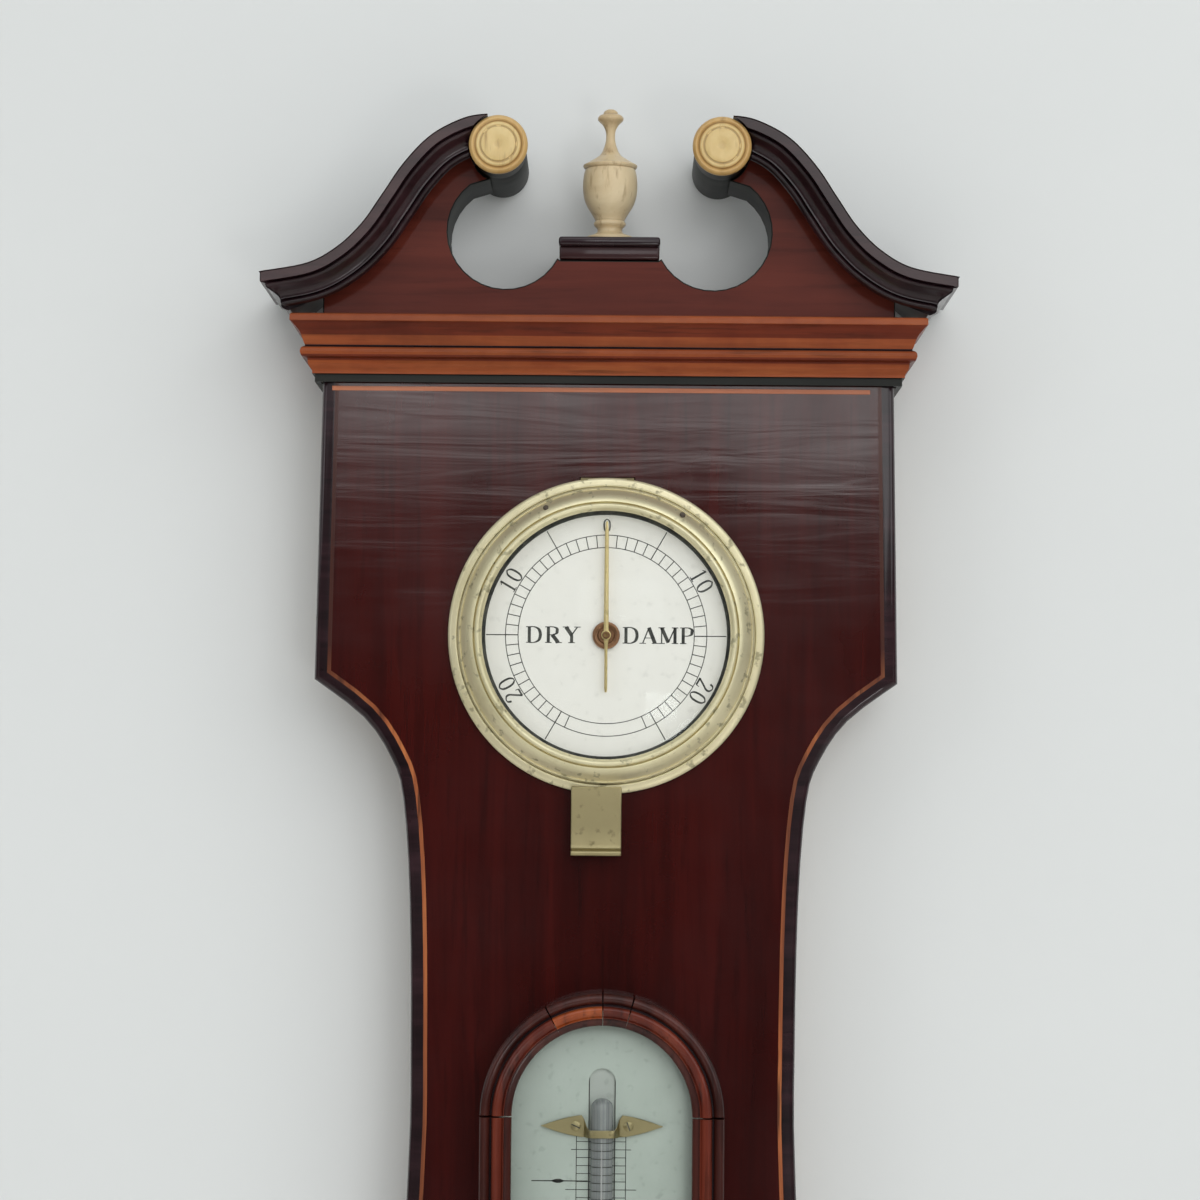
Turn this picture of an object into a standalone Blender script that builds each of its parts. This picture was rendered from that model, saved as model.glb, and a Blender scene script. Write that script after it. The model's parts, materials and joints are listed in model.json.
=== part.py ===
"""A wheel barometer in a banjo-shaped mahogany case. Metres, +Z up.

X runs to the right of someone facing it, the front looks along -Y and the wall is the plane Y = 0.
The origin is the hanging eye on the back of the head. A "rise" is a distance forward of a face.
"""

import math

import bmesh
import bpy
from mathutils import Vector

# Play between pieces that touch, and the plane that everything on the front of the case stands on
GAP = 0.0003
CASE_FRONT = -0.032
SEAT = CASE_FRONT - GAP

# Case: a veneered front board on a hollowed carcass
BOARD_BACK = -0.020
CARCASS_FRONT = BOARD_BACK + GAP
HEAD_TOP = 0.029
SHOULDER = (0.0766, -0.067)
HEAD_HALF = 0.0751
NECK = [(0.0635, -0.0769), (0.0562, -0.0875), (0.0529, -0.0981), (0.0509, -0.1246), (0.0502, -0.165),
        (0.0507, -0.199), (0.0560, -0.305), (0.0605, -0.370), (0.0680, -0.425), (0.0810, -0.480)]
BODY_RADIUS = 0.130
BODY_FROM, BODY_TO = math.radians(39.7), math.radians(-48)
FOOT_NECK = [(0.0660, -0.728), (0.0530, -0.755), (0.0495, -0.778), (0.0510, -0.805)]
FOOT_RADIUS = 0.0525
FOOT_Z = -0.8315
CARCASS_INSET = 0.003

# Cornice: (projection, height) down its face, and the pediment that stands on it
CORNICE_SIDE = 0.0759
CORNICE = [(0.0077, 0.0287), (0.0077, 0.0268), (0.0070, 0.0262), (0.0052, 0.0240), (0.0042, 0.0214),
           (0.0038, 0.0205), (0.0048, 0.0197), (0.0051, 0.0186), (0.0047, 0.0175), (0.0032, 0.0168),
           (0.0030, 0.0156), (0.0021, 0.0140), (0.0016, 0.0124), (0.0014, 0.0113)]
PEDIMENT_BASE = HEAD_TOP + GAP
PEDIMENT_BACK = -0.010
PEDIMENT_HALF = 0.0755
SWAN_PATH = [(0.0367, 0.0752), (0.0440, 0.0709), (0.0503, 0.0642), (0.0555, 0.0564), (0.0611, 0.0483),
             (0.0682, 0.0414), (0.0774, 0.0364), (0.0920, 0.0337)]
SWAN_HALF = 0.0046
SWAN_SECTION = [(-1.0, 0.0), (1.0, 0.0), (1.0, 0.0147), (0.55, 0.0147), (0.48, 0.0130), (0.15, 0.0122),
                (-0.30, 0.0100), (-0.60, 0.0094), (-0.70, 0.0084), (-1.0, 0.0080)]
BOSS = (0.0292, 0.0725)
BOSS_RADIUS = 0.0070
BOSS_FRONT, BOSS_BACK = -0.0440, -0.0030
SCALLOP = (0.0274, 0.0519)
SCALLOP_RADIUS = 0.0154
PLINTH_HALF = 0.0130
PLINTH_TOP = 0.0442
CAP_TOP = 0.0503
FINIAL_Y = -0.021

# Hygrometer
HYGRO_Z = -0.055
HYGRO_RADIUS = 0.0415
HYGRO_AXIS = (-0.0338, HYGRO_Z + 0.0405)
TAB_LEFT, TAB_RIGHT = -0.0088, 0.0044
TAB_TOP, TAB_BOTTOM = HYGRO_Z - 0.0396, HYGRO_Z - 0.0576

# Thermometer
THERMO_ARCH_Z = -0.1797
THERMO_HALF = 0.0317
THERMO_SIGHT = 0.0233
THERMO_REBATE = 0.0280
THERMO_FOOT = -0.403
THERMO_SILL = 0.0084
THERMO_DEPTH = 0.0117
THERMO_TUBE_RADIUS = 0.0030
THERMO_TUBE_Y = -0.0353

# Main dial and its movement
DIAL_Z = -0.604
DIAL_RADIUS = 0.1035
BEZEL_RADIUS = 0.111
BEZEL_AXIS = (-0.1132, -0.0345)
ARBOR_RADIUS = 0.0012
SLEEVE_RADIUS = 0.0022
WHEEL_RADIUS = 0.0381 / (2 * math.pi)
WHEEL_Y = -0.0120
SET_WHEEL_RADIUS, KEY_WHEEL_RADIUS = 0.0080, 0.0041
SET_WHEEL_Y = -0.0186
KEY_Z = -0.738
CHAMBER_RADIUS = 0.0475

# Siphon tube: its long leg, and the short leg under the wheel's right side
LONG_LEG_X = -0.020
TUBE_RADIUS, BORE_RADIUS = 0.0050, 0.0036
TUBE_TOP = -0.020
SHORT_LEG_TOP = -0.700
BEND_Z = -0.845
FLOAT_Z, FLOAT_HALF = -0.799, 0.010
WEIGHT_Z, WEIGHT_HALF = -0.680, 0.007

# Back door and level
DOOR_HALF = 0.0515
DOOR_TOP, DOOR_BOTTOM = -0.548, -0.735
DOOR_AXIS = (-0.0535, -0.0017)
LEVEL_Z = -0.799


def start_empty():
    """Clears the scene and makes the collections for the parts and for the cutters."""
    for old in list(bpy.data.objects):
        bpy.data.objects.remove(old, do_unlink=True)
    made = []
    for name in ("wheel_barometer", "cutters"):
        collection = bpy.data.collections.new(name)
        bpy.context.scene.collection.children.link(collection)
        made.append(collection)
    return made


PARTS, CUTTERS = start_empty()


def finish(name, colour, roughness, metallic=0.0):
    """A Principled material."""
    made = bpy.data.materials.new(name)
    made.use_nodes = True
    shader = made.node_tree.nodes["Principled BSDF"]
    shader.inputs["Base Color"].default_value = (*colour, 1.0)
    shader.inputs["Roughness"].default_value = roughness
    shader.inputs["Metallic"].default_value = metallic
    return made


MAHOGANY = finish("mahogany", (0.075, 0.018, 0.014), 0.25)
CORNICE_WOOD = finish("cornice_wood", (0.28, 0.09, 0.04), 0.35)
EBONISED = finish("ebonised", (0.022, 0.012, 0.014), 0.3)
PINE = finish("pine", (0.45, 0.30, 0.16), 0.8)
BONE = finish("bone", (0.72, 0.60, 0.38), 0.4)
BRASS = finish("brass", (0.55, 0.44, 0.20), 0.35, 1.0)
SILVERED = finish("silvered", (0.60, 0.60, 0.57), 0.4, 0.8)
BLUED = finish("blued_steel", (0.02, 0.03, 0.08), 0.3, 1.0)
GLASS = finish("glass", (0.85, 0.90, 0.88), 0.05)
LEAD = finish("lead", (0.18, 0.18, 0.19), 0.6, 0.8)
SILK = finish("silk", (0.30, 0.27, 0.20), 0.8)
STRAW = finish("straw", (0.55, 0.42, 0.20), 0.8)


def placed(piece, material=None):
    """Puts an object among the parts with its material, or among the hidden cutters with none."""
    for collection in list(piece.users_collection):
        collection.objects.unlink(piece)
    if material is None:
        CUTTERS.objects.link(piece)
        piece.hide_render = True
        piece.display_type = "WIRE"
    else:
        PARTS.objects.link(piece)
        piece.data.materials.clear()
        piece.data.materials.append(material)
    return piece


def from_bmesh(name, shape, material):
    mesh = bpy.data.meshes.new(name)
    shape.to_mesh(mesh)
    shape.free()
    return placed(bpy.data.objects.new(name, mesh), material)


def box(name, low, high, material=None, bevel=0.0):
    """A block between two corners, its edges rounded where bevel is given."""
    low, high = Vector(low), Vector(high)
    shape = bmesh.new()
    bmesh.ops.create_cube(shape, size=1.0)
    bmesh.ops.scale(shape, vec=high - low, verts=shape.verts)
    made = from_bmesh(name, shape, material)
    made.location = (low + high) / 2
    if bevel:
        rounding = made.modifiers.new("rounding", "BEVEL")
        rounding.width = bevel
        rounding.segments = 2
    return made


def turned(name, profile, place, material=None, upright=False, steps=32):
    """A (radius, rise) profile turned about an axis that faces forward, or up where upright."""
    mesh = bpy.data.meshes.new(name)
    points = [(radius, 0.0, rise) for radius, rise in profile]
    mesh.from_pydata(points, [(i, i + 1) for i in range(len(points) - 1)], [])
    made = placed(bpy.data.objects.new(name, mesh), material)
    lathe = made.modifiers.new("lathe", "SCREW")
    lathe.steps = lathe.render_steps = steps
    lathe.use_merge_vertices = True
    lathe.merge_threshold = 0.00001
    made.rotation_euler = (0.0 if upright else math.pi / 2, 0.0, 0.0)
    made.location = place
    return made


def ring(name, outer, inner, rise, place, material, **turning):
    """A flat washer, or a disc with a bore."""
    corners = [(outer, rise), (outer, 0.0), (inner, 0.0), (inner, rise), (outer, rise)]
    return turned(name, corners, place, material, **turning)


def rod(name, radius, front, back, x, z, material=None, steps=16):
    """A round bar along Y."""
    length = back - front
    return turned(name, [(0.0, length), (radius, length), (radius, 0.0), (0.0, 0.0)],
                  (x, back, z), material, steps=steps)


def solid(curve_object, material):
    """The mesh of a curve object, its loose caps welded. The curve is removed."""
    graph = bpy.context.evaluated_depsgraph_get()
    mesh = bpy.data.meshes.new_from_object(curve_object.evaluated_get(graph))
    shape = bmesh.new()
    shape.from_mesh(mesh)
    bmesh.ops.remove_doubles(shape, verts=shape.verts, dist=0.000005)
    bmesh.ops.recalc_face_normals(shape, faces=shape.faces)
    shape.to_mesh(mesh)
    shape.free()
    made = bpy.data.objects.new(curve_object.name, mesh)
    made.matrix_world = curve_object.matrix_world.copy()
    name = curve_object.name
    bpy.data.objects.remove(curve_object, do_unlink=True)
    made.name = name
    return placed(made, material)


def poly_curve(name, points, cyclic, dimensions):
    """A curve object of straight runs through (x, z), or (x, y, z) points."""
    curve = bpy.data.curves.new(name, "CURVE")
    curve.dimensions = dimensions
    spline = curve.splines.new("POLY")
    spline.points.add(len(points) - 1)
    for point, place in zip(spline.points, points):
        point.co = (*place, 0.0, 1.0) if len(place) == 2 else (*place, 1.0)
    spline.use_cyclic_u = cyclic
    return bpy.data.objects.new(name, curve)


def board(name, outline, front, back, material=None):
    """A flat piece with an (x, z) outline, between two depths."""
    flat = poly_curve(name, outline, True, "2D")
    bpy.context.scene.collection.objects.link(flat)
    flat.data.fill_mode = "BOTH"
    flat.data.extrude = (back - front) / 2
    flat.rotation_euler = (math.pi / 2, 0.0, 0.0)
    flat.location = (0.0, (front + back) / 2, 0.0)
    bpy.context.view_layer.update()
    return solid(flat, material)


def swept(name, path, section, back, material):
    """A moulding: an (offset, rise) section carried along an (x, z) path, standing on a depth."""
    rail = poly_curve(name, path, False, "2D")
    bpy.context.scene.collection.objects.link(rail)
    shape = poly_curve(name + "_section", section, True, "2D")
    bpy.context.scene.collection.objects.link(shape)
    rail.data.bevel_mode = "OBJECT"
    rail.data.bevel_object = shape
    rail.data.use_fill_caps = True
    rail.rotation_euler = (math.pi / 2, 0.0, 0.0)
    rail.location = (0.0, back, 0.0)
    bpy.context.view_layer.update()
    made = solid(rail, material)
    bpy.data.objects.remove(shape, do_unlink=True)
    return made


def tube(name, path, radius, material=None, cyclic=False, resolution=2):
    """A round tube or cord along (x, y, z) points."""
    line = poly_curve(name, path, cyclic, "3D")
    bpy.context.scene.collection.objects.link(line)
    line.data.bevel_depth = radius
    line.data.bevel_resolution = resolution
    line.data.use_fill_caps = True
    bpy.context.view_layer.update()
    return solid(line, material)


def cut(piece, *cutters):
    for cutter in cutters:
        piece.modifiers.new(cutter.name, "BOOLEAN").object = cutter


def join(piece, *others):
    """Unions hidden shapes into a piece."""
    for other in others:
        union = piece.modifiers.new(other.name, "BOOLEAN")
        union.operation = "UNION"
        union.object = other


def pivot(name, x, y, z, *pieces):
    """An empty on a joint's axis, with the pieces that turn or slide on it as its children."""
    empty = bpy.data.objects.new(name, None)
    PARTS.objects.link(empty)
    empty.location = (x, y, z)
    for piece in pieces:
        piece.parent = empty
        piece.location -= empty.location


def arc(centre, radius, start, stop, count):
    """Points on a circle, angles measured from +X towards +Z."""
    steps = [start + (stop - start) * i / (count - 1) for i in range(count)]
    return [(centre[0] + radius * math.cos(a), centre[1] + radius * math.sin(a)) for a in steps]


def smooth(points, count):
    """A Catmull-Rom curve through points, with count steps to each span."""
    ends = [points[0], *points, points[-1]]
    made = [points[0]]
    for before, start, stop, after in zip(ends, ends[1:], ends[2:], ends[3:]):
        for i in range(1, count + 1):
            t = i / count
            made.append(tuple(
                0.5 * (2 * p + (q - o) * t + (2 * o - 5 * p + 4 * q - r) * t * t
                       + (3 * p - o - 3 * q + r) * t ** 3)
                for o, p, q, r in zip(before, start, stop, after)))
    return made


def mirrored(half):
    """A right half outline, top to bottom, closed by its mirror image."""
    other = [(-x, z) for x, z in reversed(half) if x > 1e-6]
    return half + other


def case_half(inset):
    """The right half of the case's outline, from the top of the head round to the foot."""
    body = arc((0.0, DIAL_Z), BODY_RADIUS - inset, BODY_FROM, BODY_TO, 20)
    foot = arc((0.0, FOOT_Z), FOOT_RADIUS - inset, 0.0, -math.pi / 2, 11)
    narrowed = [(x - inset, z) for x, z in (SHOULDER, *NECK)]
    neck = smooth([*narrowed, body[0]], 3)
    low_neck = smooth([body[-1], *((x - inset, z) for x, z in FOOT_NECK), foot[0]], 3)
    return [(HEAD_HALF - inset, HEAD_TOP), *neck, *body[1:], *low_neck[1:], *foot[1:-1], (0.0, foot[-1][1])]


def make_case():
    front = board("case_front", mirrored(case_half(0.0)), CASE_FRONT, BOARD_BACK, MAHOGANY)
    cut(
        front,
        rod("cut_hygro_bore", 0.0026, CASE_FRONT - 0.001, BOARD_BACK + 0.001, 0.0, HYGRO_Z),
        rod("cut_arbor_bore", 0.0026, CASE_FRONT - 0.001, BOARD_BACK + 0.001, 0.0, DIAL_Z),
        rod("cut_key_bore", 0.0022, CASE_FRONT - 0.001, BOARD_BACK + 0.001, 0.0, KEY_Z),
        box("cut_level_pocket", (-0.0205, CASE_FRONT - 0.001, LEVEL_Z - 0.0045),
            (0.0205, -0.0245, LEVEL_Z + 0.0045)),
        box("cut_hygro_hinge_bed", (-0.0073, CASE_FRONT - 0.001, HYGRO_AXIS[1] - 0.0093),
            (0.0073, -0.0307, HYGRO_AXIS[1] + 0.0013)),
    )
    carcass = board("case_carcass", mirrored(case_half(CARCASS_INSET)), CARCASS_FRONT, 0.0, PINE)
    cut(
        carcass,
        rod("cut_chamber", CHAMBER_RADIUS, CARCASS_FRONT - 0.001, 0.001, 0.0, DIAL_Z, steps=32),
        box("cut_long_channel", (LONG_LEG_X - 0.0075, -0.0180, -0.6400),
            (LONG_LEG_X + 0.0075, 0.001, TUBE_TOP + 0.004)),
        box("cut_low_channel", (LONG_LEG_X - 0.0075, CARCASS_FRONT - 0.001, BEND_Z - 0.0210),
            (0.0145, 0.001, DIAL_Z - 0.030)),
        box("cut_beard_bore", (-0.003, CARCASS_FRONT - 0.001, HYGRO_Z - 0.003),
            (0.003, -0.004, HYGRO_Z + 0.003)),
        box("cut_plate_bed", (-0.0098, -0.0030, -0.0223), (0.0098, 0.001, 0.0163)),
        box("cut_nail_room", (-0.0050, -0.0120, -0.0080), (0.0050, 0.001, 0.0060)),
        box("cut_door_bed", (DOOR_AXIS[0] - 0.0035, -0.0034, DOOR_BOTTOM - 0.0005),
            (DOOR_HALF + 0.0005, 0.001, DOOR_TOP + 0.0005)),
    )
    plate = box("hanging_plate", (-0.0095, -0.0027, -0.0220), (0.0095, -0.0007, 0.0160), BRASS)
    cut(plate, rod("cut_eye", 0.0042, -0.004, 0.001, 0.0, 0.0))


def side_run(name, section, colour, mitre):
    """A moulding down the side of the head: (x, z) section points from a front depth back to the wall."""
    shape = bmesh.new()
    start = shape.faces.new([shape.verts.new((x, 0.0, z)) for x, z in section])
    pulled = bmesh.ops.extrude_face_region(shape, geom=[start])["geom"]
    far = {v for v in pulled if isinstance(v, bmesh.types.BMVert)}
    for vert in shape.verts:
        vert.co.y = mitre(abs(vert.co.x)) if vert in far else -0.002
    bmesh.ops.recalc_face_normals(shape, faces=shape.faces)
    return from_bmesh(name, shape, colour)


def front_run(name, section, half_length, colour):
    """A moulding across the front: (depth, z) section points, out to a mitre at each end."""
    shape = bmesh.new()
    start = shape.faces.new([shape.verts.new((0.0, y, z)) for y, z in section])
    pulled = bmesh.ops.extrude_face_region(shape, geom=[start])["geom"]
    far = {v for v in pulled if isinstance(v, bmesh.types.BMVert)}
    for vert in shape.verts:
        vert.co.x = (1 if vert in far else -1) * half_length(vert.co.y)
    bmesh.ops.recalc_face_normals(shape, faces=shape.faces)
    return from_bmesh(name, shape, colour)


def mitre_depth(x):
    """Where a side run meets the mitre plane, at a distance from the centre line."""
    return SEAT - (x - CORNICE_SIDE) + GAP / 2


def mitre_cutter(name, sign):
    """Takes away what lies beyond the mitre plane on one side of the head."""
    near, far = CORNICE_SIDE - GAP / 2, 0.030
    plan = [(near - 0.001, SEAT + 0.001), (near + far, SEAT - far), (near + far, SEAT + 0.001)]
    shape = bmesh.new()
    start = shape.faces.new([shape.verts.new((sign * x, y, 0.020)) for x, y in plan])
    pulled = bmesh.ops.extrude_face_region(shape, geom=[start])["geom"]
    top = [v for v in pulled if isinstance(v, bmesh.types.BMVert)]
    bmesh.ops.translate(shape, vec=(0.0, 0.0, 0.040), verts=top)
    bmesh.ops.recalc_face_normals(shape, faces=shape.faces)
    return from_bmesh(name, shape, None)


def make_cornice():
    """The front run, and a mitred return back along each side of the head."""
    section = [*CORNICE, (0.0, CORNICE[-1][1]), (0.0, CORNICE[0][1])]
    front_run("cornice_front", [(SEAT - out, z) for out, z in section],
              lambda y: CORNICE_SIDE + (SEAT - y) - GAP / 2, CORNICE_WOOD)
    for side, sign in (("left", -1), ("right", 1)):
        side_run("cornice_return_" + side, [(sign * (CORNICE_SIDE + out), z) for out, z in section],
                 CORNICE_WOOD, mitre_depth)


def make_pediment():
    path = smooth(SWAN_PATH, 3)
    round_boss = arc(BOSS, BOSS_RADIUS + GAP, math.radians(10), math.radians(-70), 6)
    scallop = arc(SCALLOP, SCALLOP_RADIUS, math.radians(52), math.radians(-152.4), 20)
    top_edge = [(x + 0.0028, z + 0.0028) for x, z in path if 0.0400 < x < 0.0720]
    half = [
        (0.0, PLINTH_TOP), (PLINTH_HALF, PLINTH_TOP), *reversed(scallop), *reversed(round_boss),
        *top_edge, (PEDIMENT_HALF, 0.0385), (PEDIMENT_HALF, PEDIMENT_BASE), (0.0, PEDIMENT_BASE),
    ]
    board("pediment_board", mirrored(half), CASE_FRONT, PEDIMENT_BACK, MAHOGANY)
    section = [(across * SWAN_HALF, rise) for across, rise in SWAN_SECTION]
    end_z = SWAN_PATH[-1][1]
    returned = [(rise, end_z + across) for across, rise in section if rise > 0.0]
    returned = [(0.0002, end_z - SWAN_HALF), (0.0002, end_z + SWAN_HALF), *returned]
    for side, sign in (("left", -1), ("right", 1)):
        route = [(sign * x, z) for x, z in path]
        neck = swept("swan_neck_" + side, route, [(-sign * a, b) for a, b in section], SEAT, EBONISED)
        side_run("pediment_return_" + side, [(sign * (CORNICE_SIDE + out), z) for out, z in returned],
                 EBONISED, mitre_depth)
        x, z = sign * BOSS[0], BOSS[1]
        cut(neck, rod("cut_boss_" + side, BOSS_RADIUS + GAP, -0.050, 0.0, x, z, steps=24),
            mitre_cutter("cut_mitre_" + side, sign))
        rod("scroll_boss_" + side, BOSS_RADIUS, BOSS_FRONT, BOSS_BACK, x, z, EBONISED, steps=24)
        profile = [(0.0, 0.0026), (0.0042, 0.0026), (0.0048, 0.0020), (0.0058, 0.0024), (0.0064, 0.0020),
                   (0.0071, 0.0026), (0.0077, 0.0018), (0.0077, 0.0), (0.0, 0.0)]
        turned("roundel_" + side, profile, (x, BOSS_FRONT - GAP, z), BONE, steps=24)


def make_finial():
    cap = box("plinth_cap", (-0.0120, -0.0330, PLINTH_TOP + GAP), (0.0120, -0.0090, CAP_TOP - 0.0024),
              EBONISED)
    join(cap, box("cap_slab", (-0.0134, -0.0345, CAP_TOP - 0.0025), (0.0134, -0.0075, CAP_TOP)))
    profile = [(0.0000, 0.0360), (0.0018, 0.0357), (0.0035, 0.0340), (0.0035, 0.0328), (0.0026, 0.0318),
               (0.0013, 0.0300), (0.0013, 0.0270), (0.0023, 0.0243), (0.0031, 0.0233), (0.0050, 0.0220),
               (0.0071, 0.0206), (0.0067, 0.0196), (0.0072, 0.0170), (0.0073, 0.0145), (0.0067, 0.0110),
               (0.0051, 0.0081), (0.0040, 0.0060), (0.0042, 0.0046), (0.0033, 0.0032), (0.0050, 0.0020),
               (0.0065, 0.0012), (0.0065, 0.0), (0.0, 0.0)]
    turned("urn_finial", profile, (0.0, FINIAL_Y, CAP_TOP + GAP), BONE, upright=True, steps=20)


def bezel_ring(name, outer, sight, place, steps):
    """A moulded brass ring with a flat flange, and a rebate behind its lip for a glass."""
    rebate = sight + 0.0020
    profile = [(sight + 0.0010, 0.0074), (sight + 0.0030, 0.0070), (outer - 0.0040, 0.0054),
               (outer - 0.0028, 0.0034), (outer - 0.0022, 0.0024), (outer - 0.0002, 0.0022),
               (outer, 0.0016), (outer, 0.0), (rebate, 0.0), (rebate, 0.0050), (sight, 0.0054),
               (sight, 0.0066), (sight + 0.0010, 0.0074)]
    return turned(name, profile, place, BRASS, steps=steps)


def domed_glass(name, radius, sight, crown, place, steps):
    """A watch glass: its flat rim lies in the rebate and its dome stands in the sight opening."""
    thick = 0.0012
    edge = sight - 0.0006
    outside = [(edge * i / 6, 0.0048 + crown * (1 - (i / 6) ** 2)) for i in range(7)]
    inside = [(x, z - thick) for x, z in reversed(outside)]
    profile = [*outside, (radius, 0.0046), (radius, 0.0036), *inside]
    return turned(name, profile, place, GLASS, steps=steps)


def needle(tip, tail, width, hub, count=10):
    """An outline for a hand: a tapering blade up, a tail down, and a round hub between."""
    half = [(0.0, tip), (width * 0.2, tip - width), (width * 0.6, hub * 1.2)]
    half += arc((0.0, 0.0), hub, math.radians(60), math.radians(-60), count)
    half += [(width * 0.6, -hub * 1.2), (width * 0.9, -tail)]
    return half + [(-x, z) for x, z in reversed(half) if x > 1e-6]


def hand(name, outline, x, z, front, back, bore, material):
    """A flat hand with a bore, its outline drawn about its own centre."""
    flat = board(name, [(x + px, z + pz) for px, pz in outline], front, back, material)
    cut(flat, rod("cut_" + name, bore, front - 0.001, back + 0.001, x, z))
    return flat


def make_hygrometer():
    z = HYGRO_Z
    centre = (0.0, SEAT, z)
    ring("hygro_dial", 0.0335, 0.0026, 0.0012, centre, SILVERED)
    rod("oat_beard", 0.0005, -0.0364, -0.0060, 0.0, z, STRAW, steps=8)
    pointer = hand("hygro_hand", needle(0.030, 0.015, 0.0016, 0.0022), 0.0, z, -0.0361, -0.0355,
                   0.0009, BRASS)
    hub = turned("hygro_hub", [(0.0009, 0.0014), (0.0020, 0.0014), (0.0024, 0.0011), (0.0030, 0.0013),
                               (0.0036, 0.0008), (0.0036, 0.0), (0.0009, 0.0), (0.0009, 0.0014)],
                 (0.0, -0.0338, z), BRASS, steps=16)
    pivot("hygro_hand_axis", 0.0, 0.0, z, pointer, hub)
    bezel = bezel_ring("hygro_bezel", HYGRO_RADIUS, 0.0325, centre, 36)
    cut(bezel, box("cut_hygro_knuckle", (-0.0073, -0.0360, HYGRO_AXIS[1] - 0.0014),
                   (0.0073, -0.0300, HYGRO_AXIS[1] + 0.0030)))
    glass = domed_glass("hygro_glass", 0.0342, 0.0325, 0.0046, centre, 28)
    tab = box("hygro_tab", (TAB_LEFT, -0.0364, TAB_BOTTOM + 0.0012), (TAB_RIGHT, -0.0348, TAB_TOP), BRASS)
    join(tab, box("tab_lip", (TAB_LEFT, -0.0385, TAB_BOTTOM), (TAB_RIGHT, -0.0348, TAB_BOTTOM + 0.0016)))
    axis_y, axis_z = HYGRO_AXIS
    pivot("hygro_bezel_axis", 0.0, axis_y, axis_z, bezel, glass, tab)
    leaf = box("hygro_hinge", (-0.0070, -0.0322, axis_z - 0.0090), (0.0070, -0.0310, axis_z + 0.0004),
               BRASS)
    barrel = turned("hinge_barrel", [(0.0, 0.0140), (0.0011, 0.0140), (0.0011, 0.0), (0.0, 0.0)],
                    (-0.0070, axis_y + 0.0008, axis_z), steps=10)
    barrel.rotation_euler = (0.0, math.pi / 2, 0.0)
    join(leaf, barrel)


def make_thermometer():
    z = THERMO_ARCH_Z
    lip = 0.0035
    outer, sight, rebate = THERMO_HALF, THERMO_SIGHT, THERMO_REBATE
    middle = (outer + sight) / 2
    section = [(rebate - middle, 0.0), (outer - middle, 0.0), (outer - middle, 0.0098),
               (outer - middle - 0.0016, THERMO_DEPTH), (sight - middle + 0.0016, THERMO_DEPTH),
               (sight - middle, 0.0105), (sight - middle, THERMO_DEPTH - lip),
               (rebate - middle, THERMO_DEPTH - lip)]
    seam = 0.00015
    foot = THERMO_FOOT + THERMO_SILL + GAP
    for side, sign in (("left", -1), ("right", 1)):
        bow = [(middle, z), *arc((0.0, z), middle, 0.03, math.pi / 2 - 0.03, 11), (seam, z + middle)]
        flipped = [(sign * a, b) for a, b in section]
        swept("thermo_arch_" + side, [(sign * x, y) for x, y in bow], flipped, SEAT, MAHOGANY)
        swept("thermo_stile_" + side, [(sign * middle, foot), (sign * middle, z - GAP)], flipped, SEAT,
              MAHOGANY)
    box("thermo_sill", (-outer, SEAT - THERMO_DEPTH, THERMO_FOOT), (outer, SEAT, THERMO_FOOT + THERMO_SILL),
        MAHOGANY, bevel=0.0012)
    pane = rebate - 0.0005
    arched = [(pane, foot), *arc((0.0, z), pane, 0.0, math.pi / 2, 10)]
    board("thermo_glass", mirrored(arched[::-1]), -0.0402, -0.0388, GLASS)
    plate_half = 0.0268
    arched = [(plate_half, foot + 0.001), *arc((0.0, z), plate_half, 0.0, math.pi / 2, 10)]
    plate = board("thermo_plate", mirrored(arched[::-1]), SEAT - 0.0012, SEAT, SILVERED)
    slot = THERMO_TUBE_RADIUS + GAP + 0.0002
    top = z + 0.0084
    crown = z + 0.0043
    cut(plate, board("cut_tube_slot", mirrored([(0.0, top + slot), *arc((0.0, top), slot, 1.2, 0.0, 5),
                                                (slot, THERMO_FOOT + 0.022)]), -0.036, -0.030))
    low = THERMO_FOOT + 0.030
    stem = [(0.0, crown - low), (0.0016, crown - low - 0.0004), (THERMO_TUBE_RADIUS, crown - low - 0.003),
            (THERMO_TUBE_RADIUS, 0.0040), (0.0016, 0.0008), (0.0, 0.0)]
    turned("thermo_tube", stem, (0.0, THERMO_TUBE_Y, low), GLASS, upright=True, steps=14)
    for place, height in (("upper", z - 0.0030), ("lower", THERMO_FOOT + 0.050)):
        lozenge = [(0.0158, height), (0.0100, height + 0.0028), (-0.0100, height + 0.0028),
                   (-0.0158, height), (-0.0100, height - 0.0028), (0.0100, height - 0.0028)]
        saddle = board("tube_saddle_" + place, lozenge, -0.0384 - 0.0003, SEAT - 0.0015, BRASS)
        cut(saddle, box("cut_saddle_" + place, (-0.0033, -0.0385, height - 0.004),
                        (0.0033, -0.0300, height + 0.004)),
            box("cut_saddle_left_" + place, (-0.017, -0.040, height - 0.004),
                (-0.0043, -0.0348, height + 0.004)),
            box("cut_saddle_right_" + place, (0.0043, -0.040, height - 0.004),
                (0.017, -0.0348, height + 0.004)))


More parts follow.
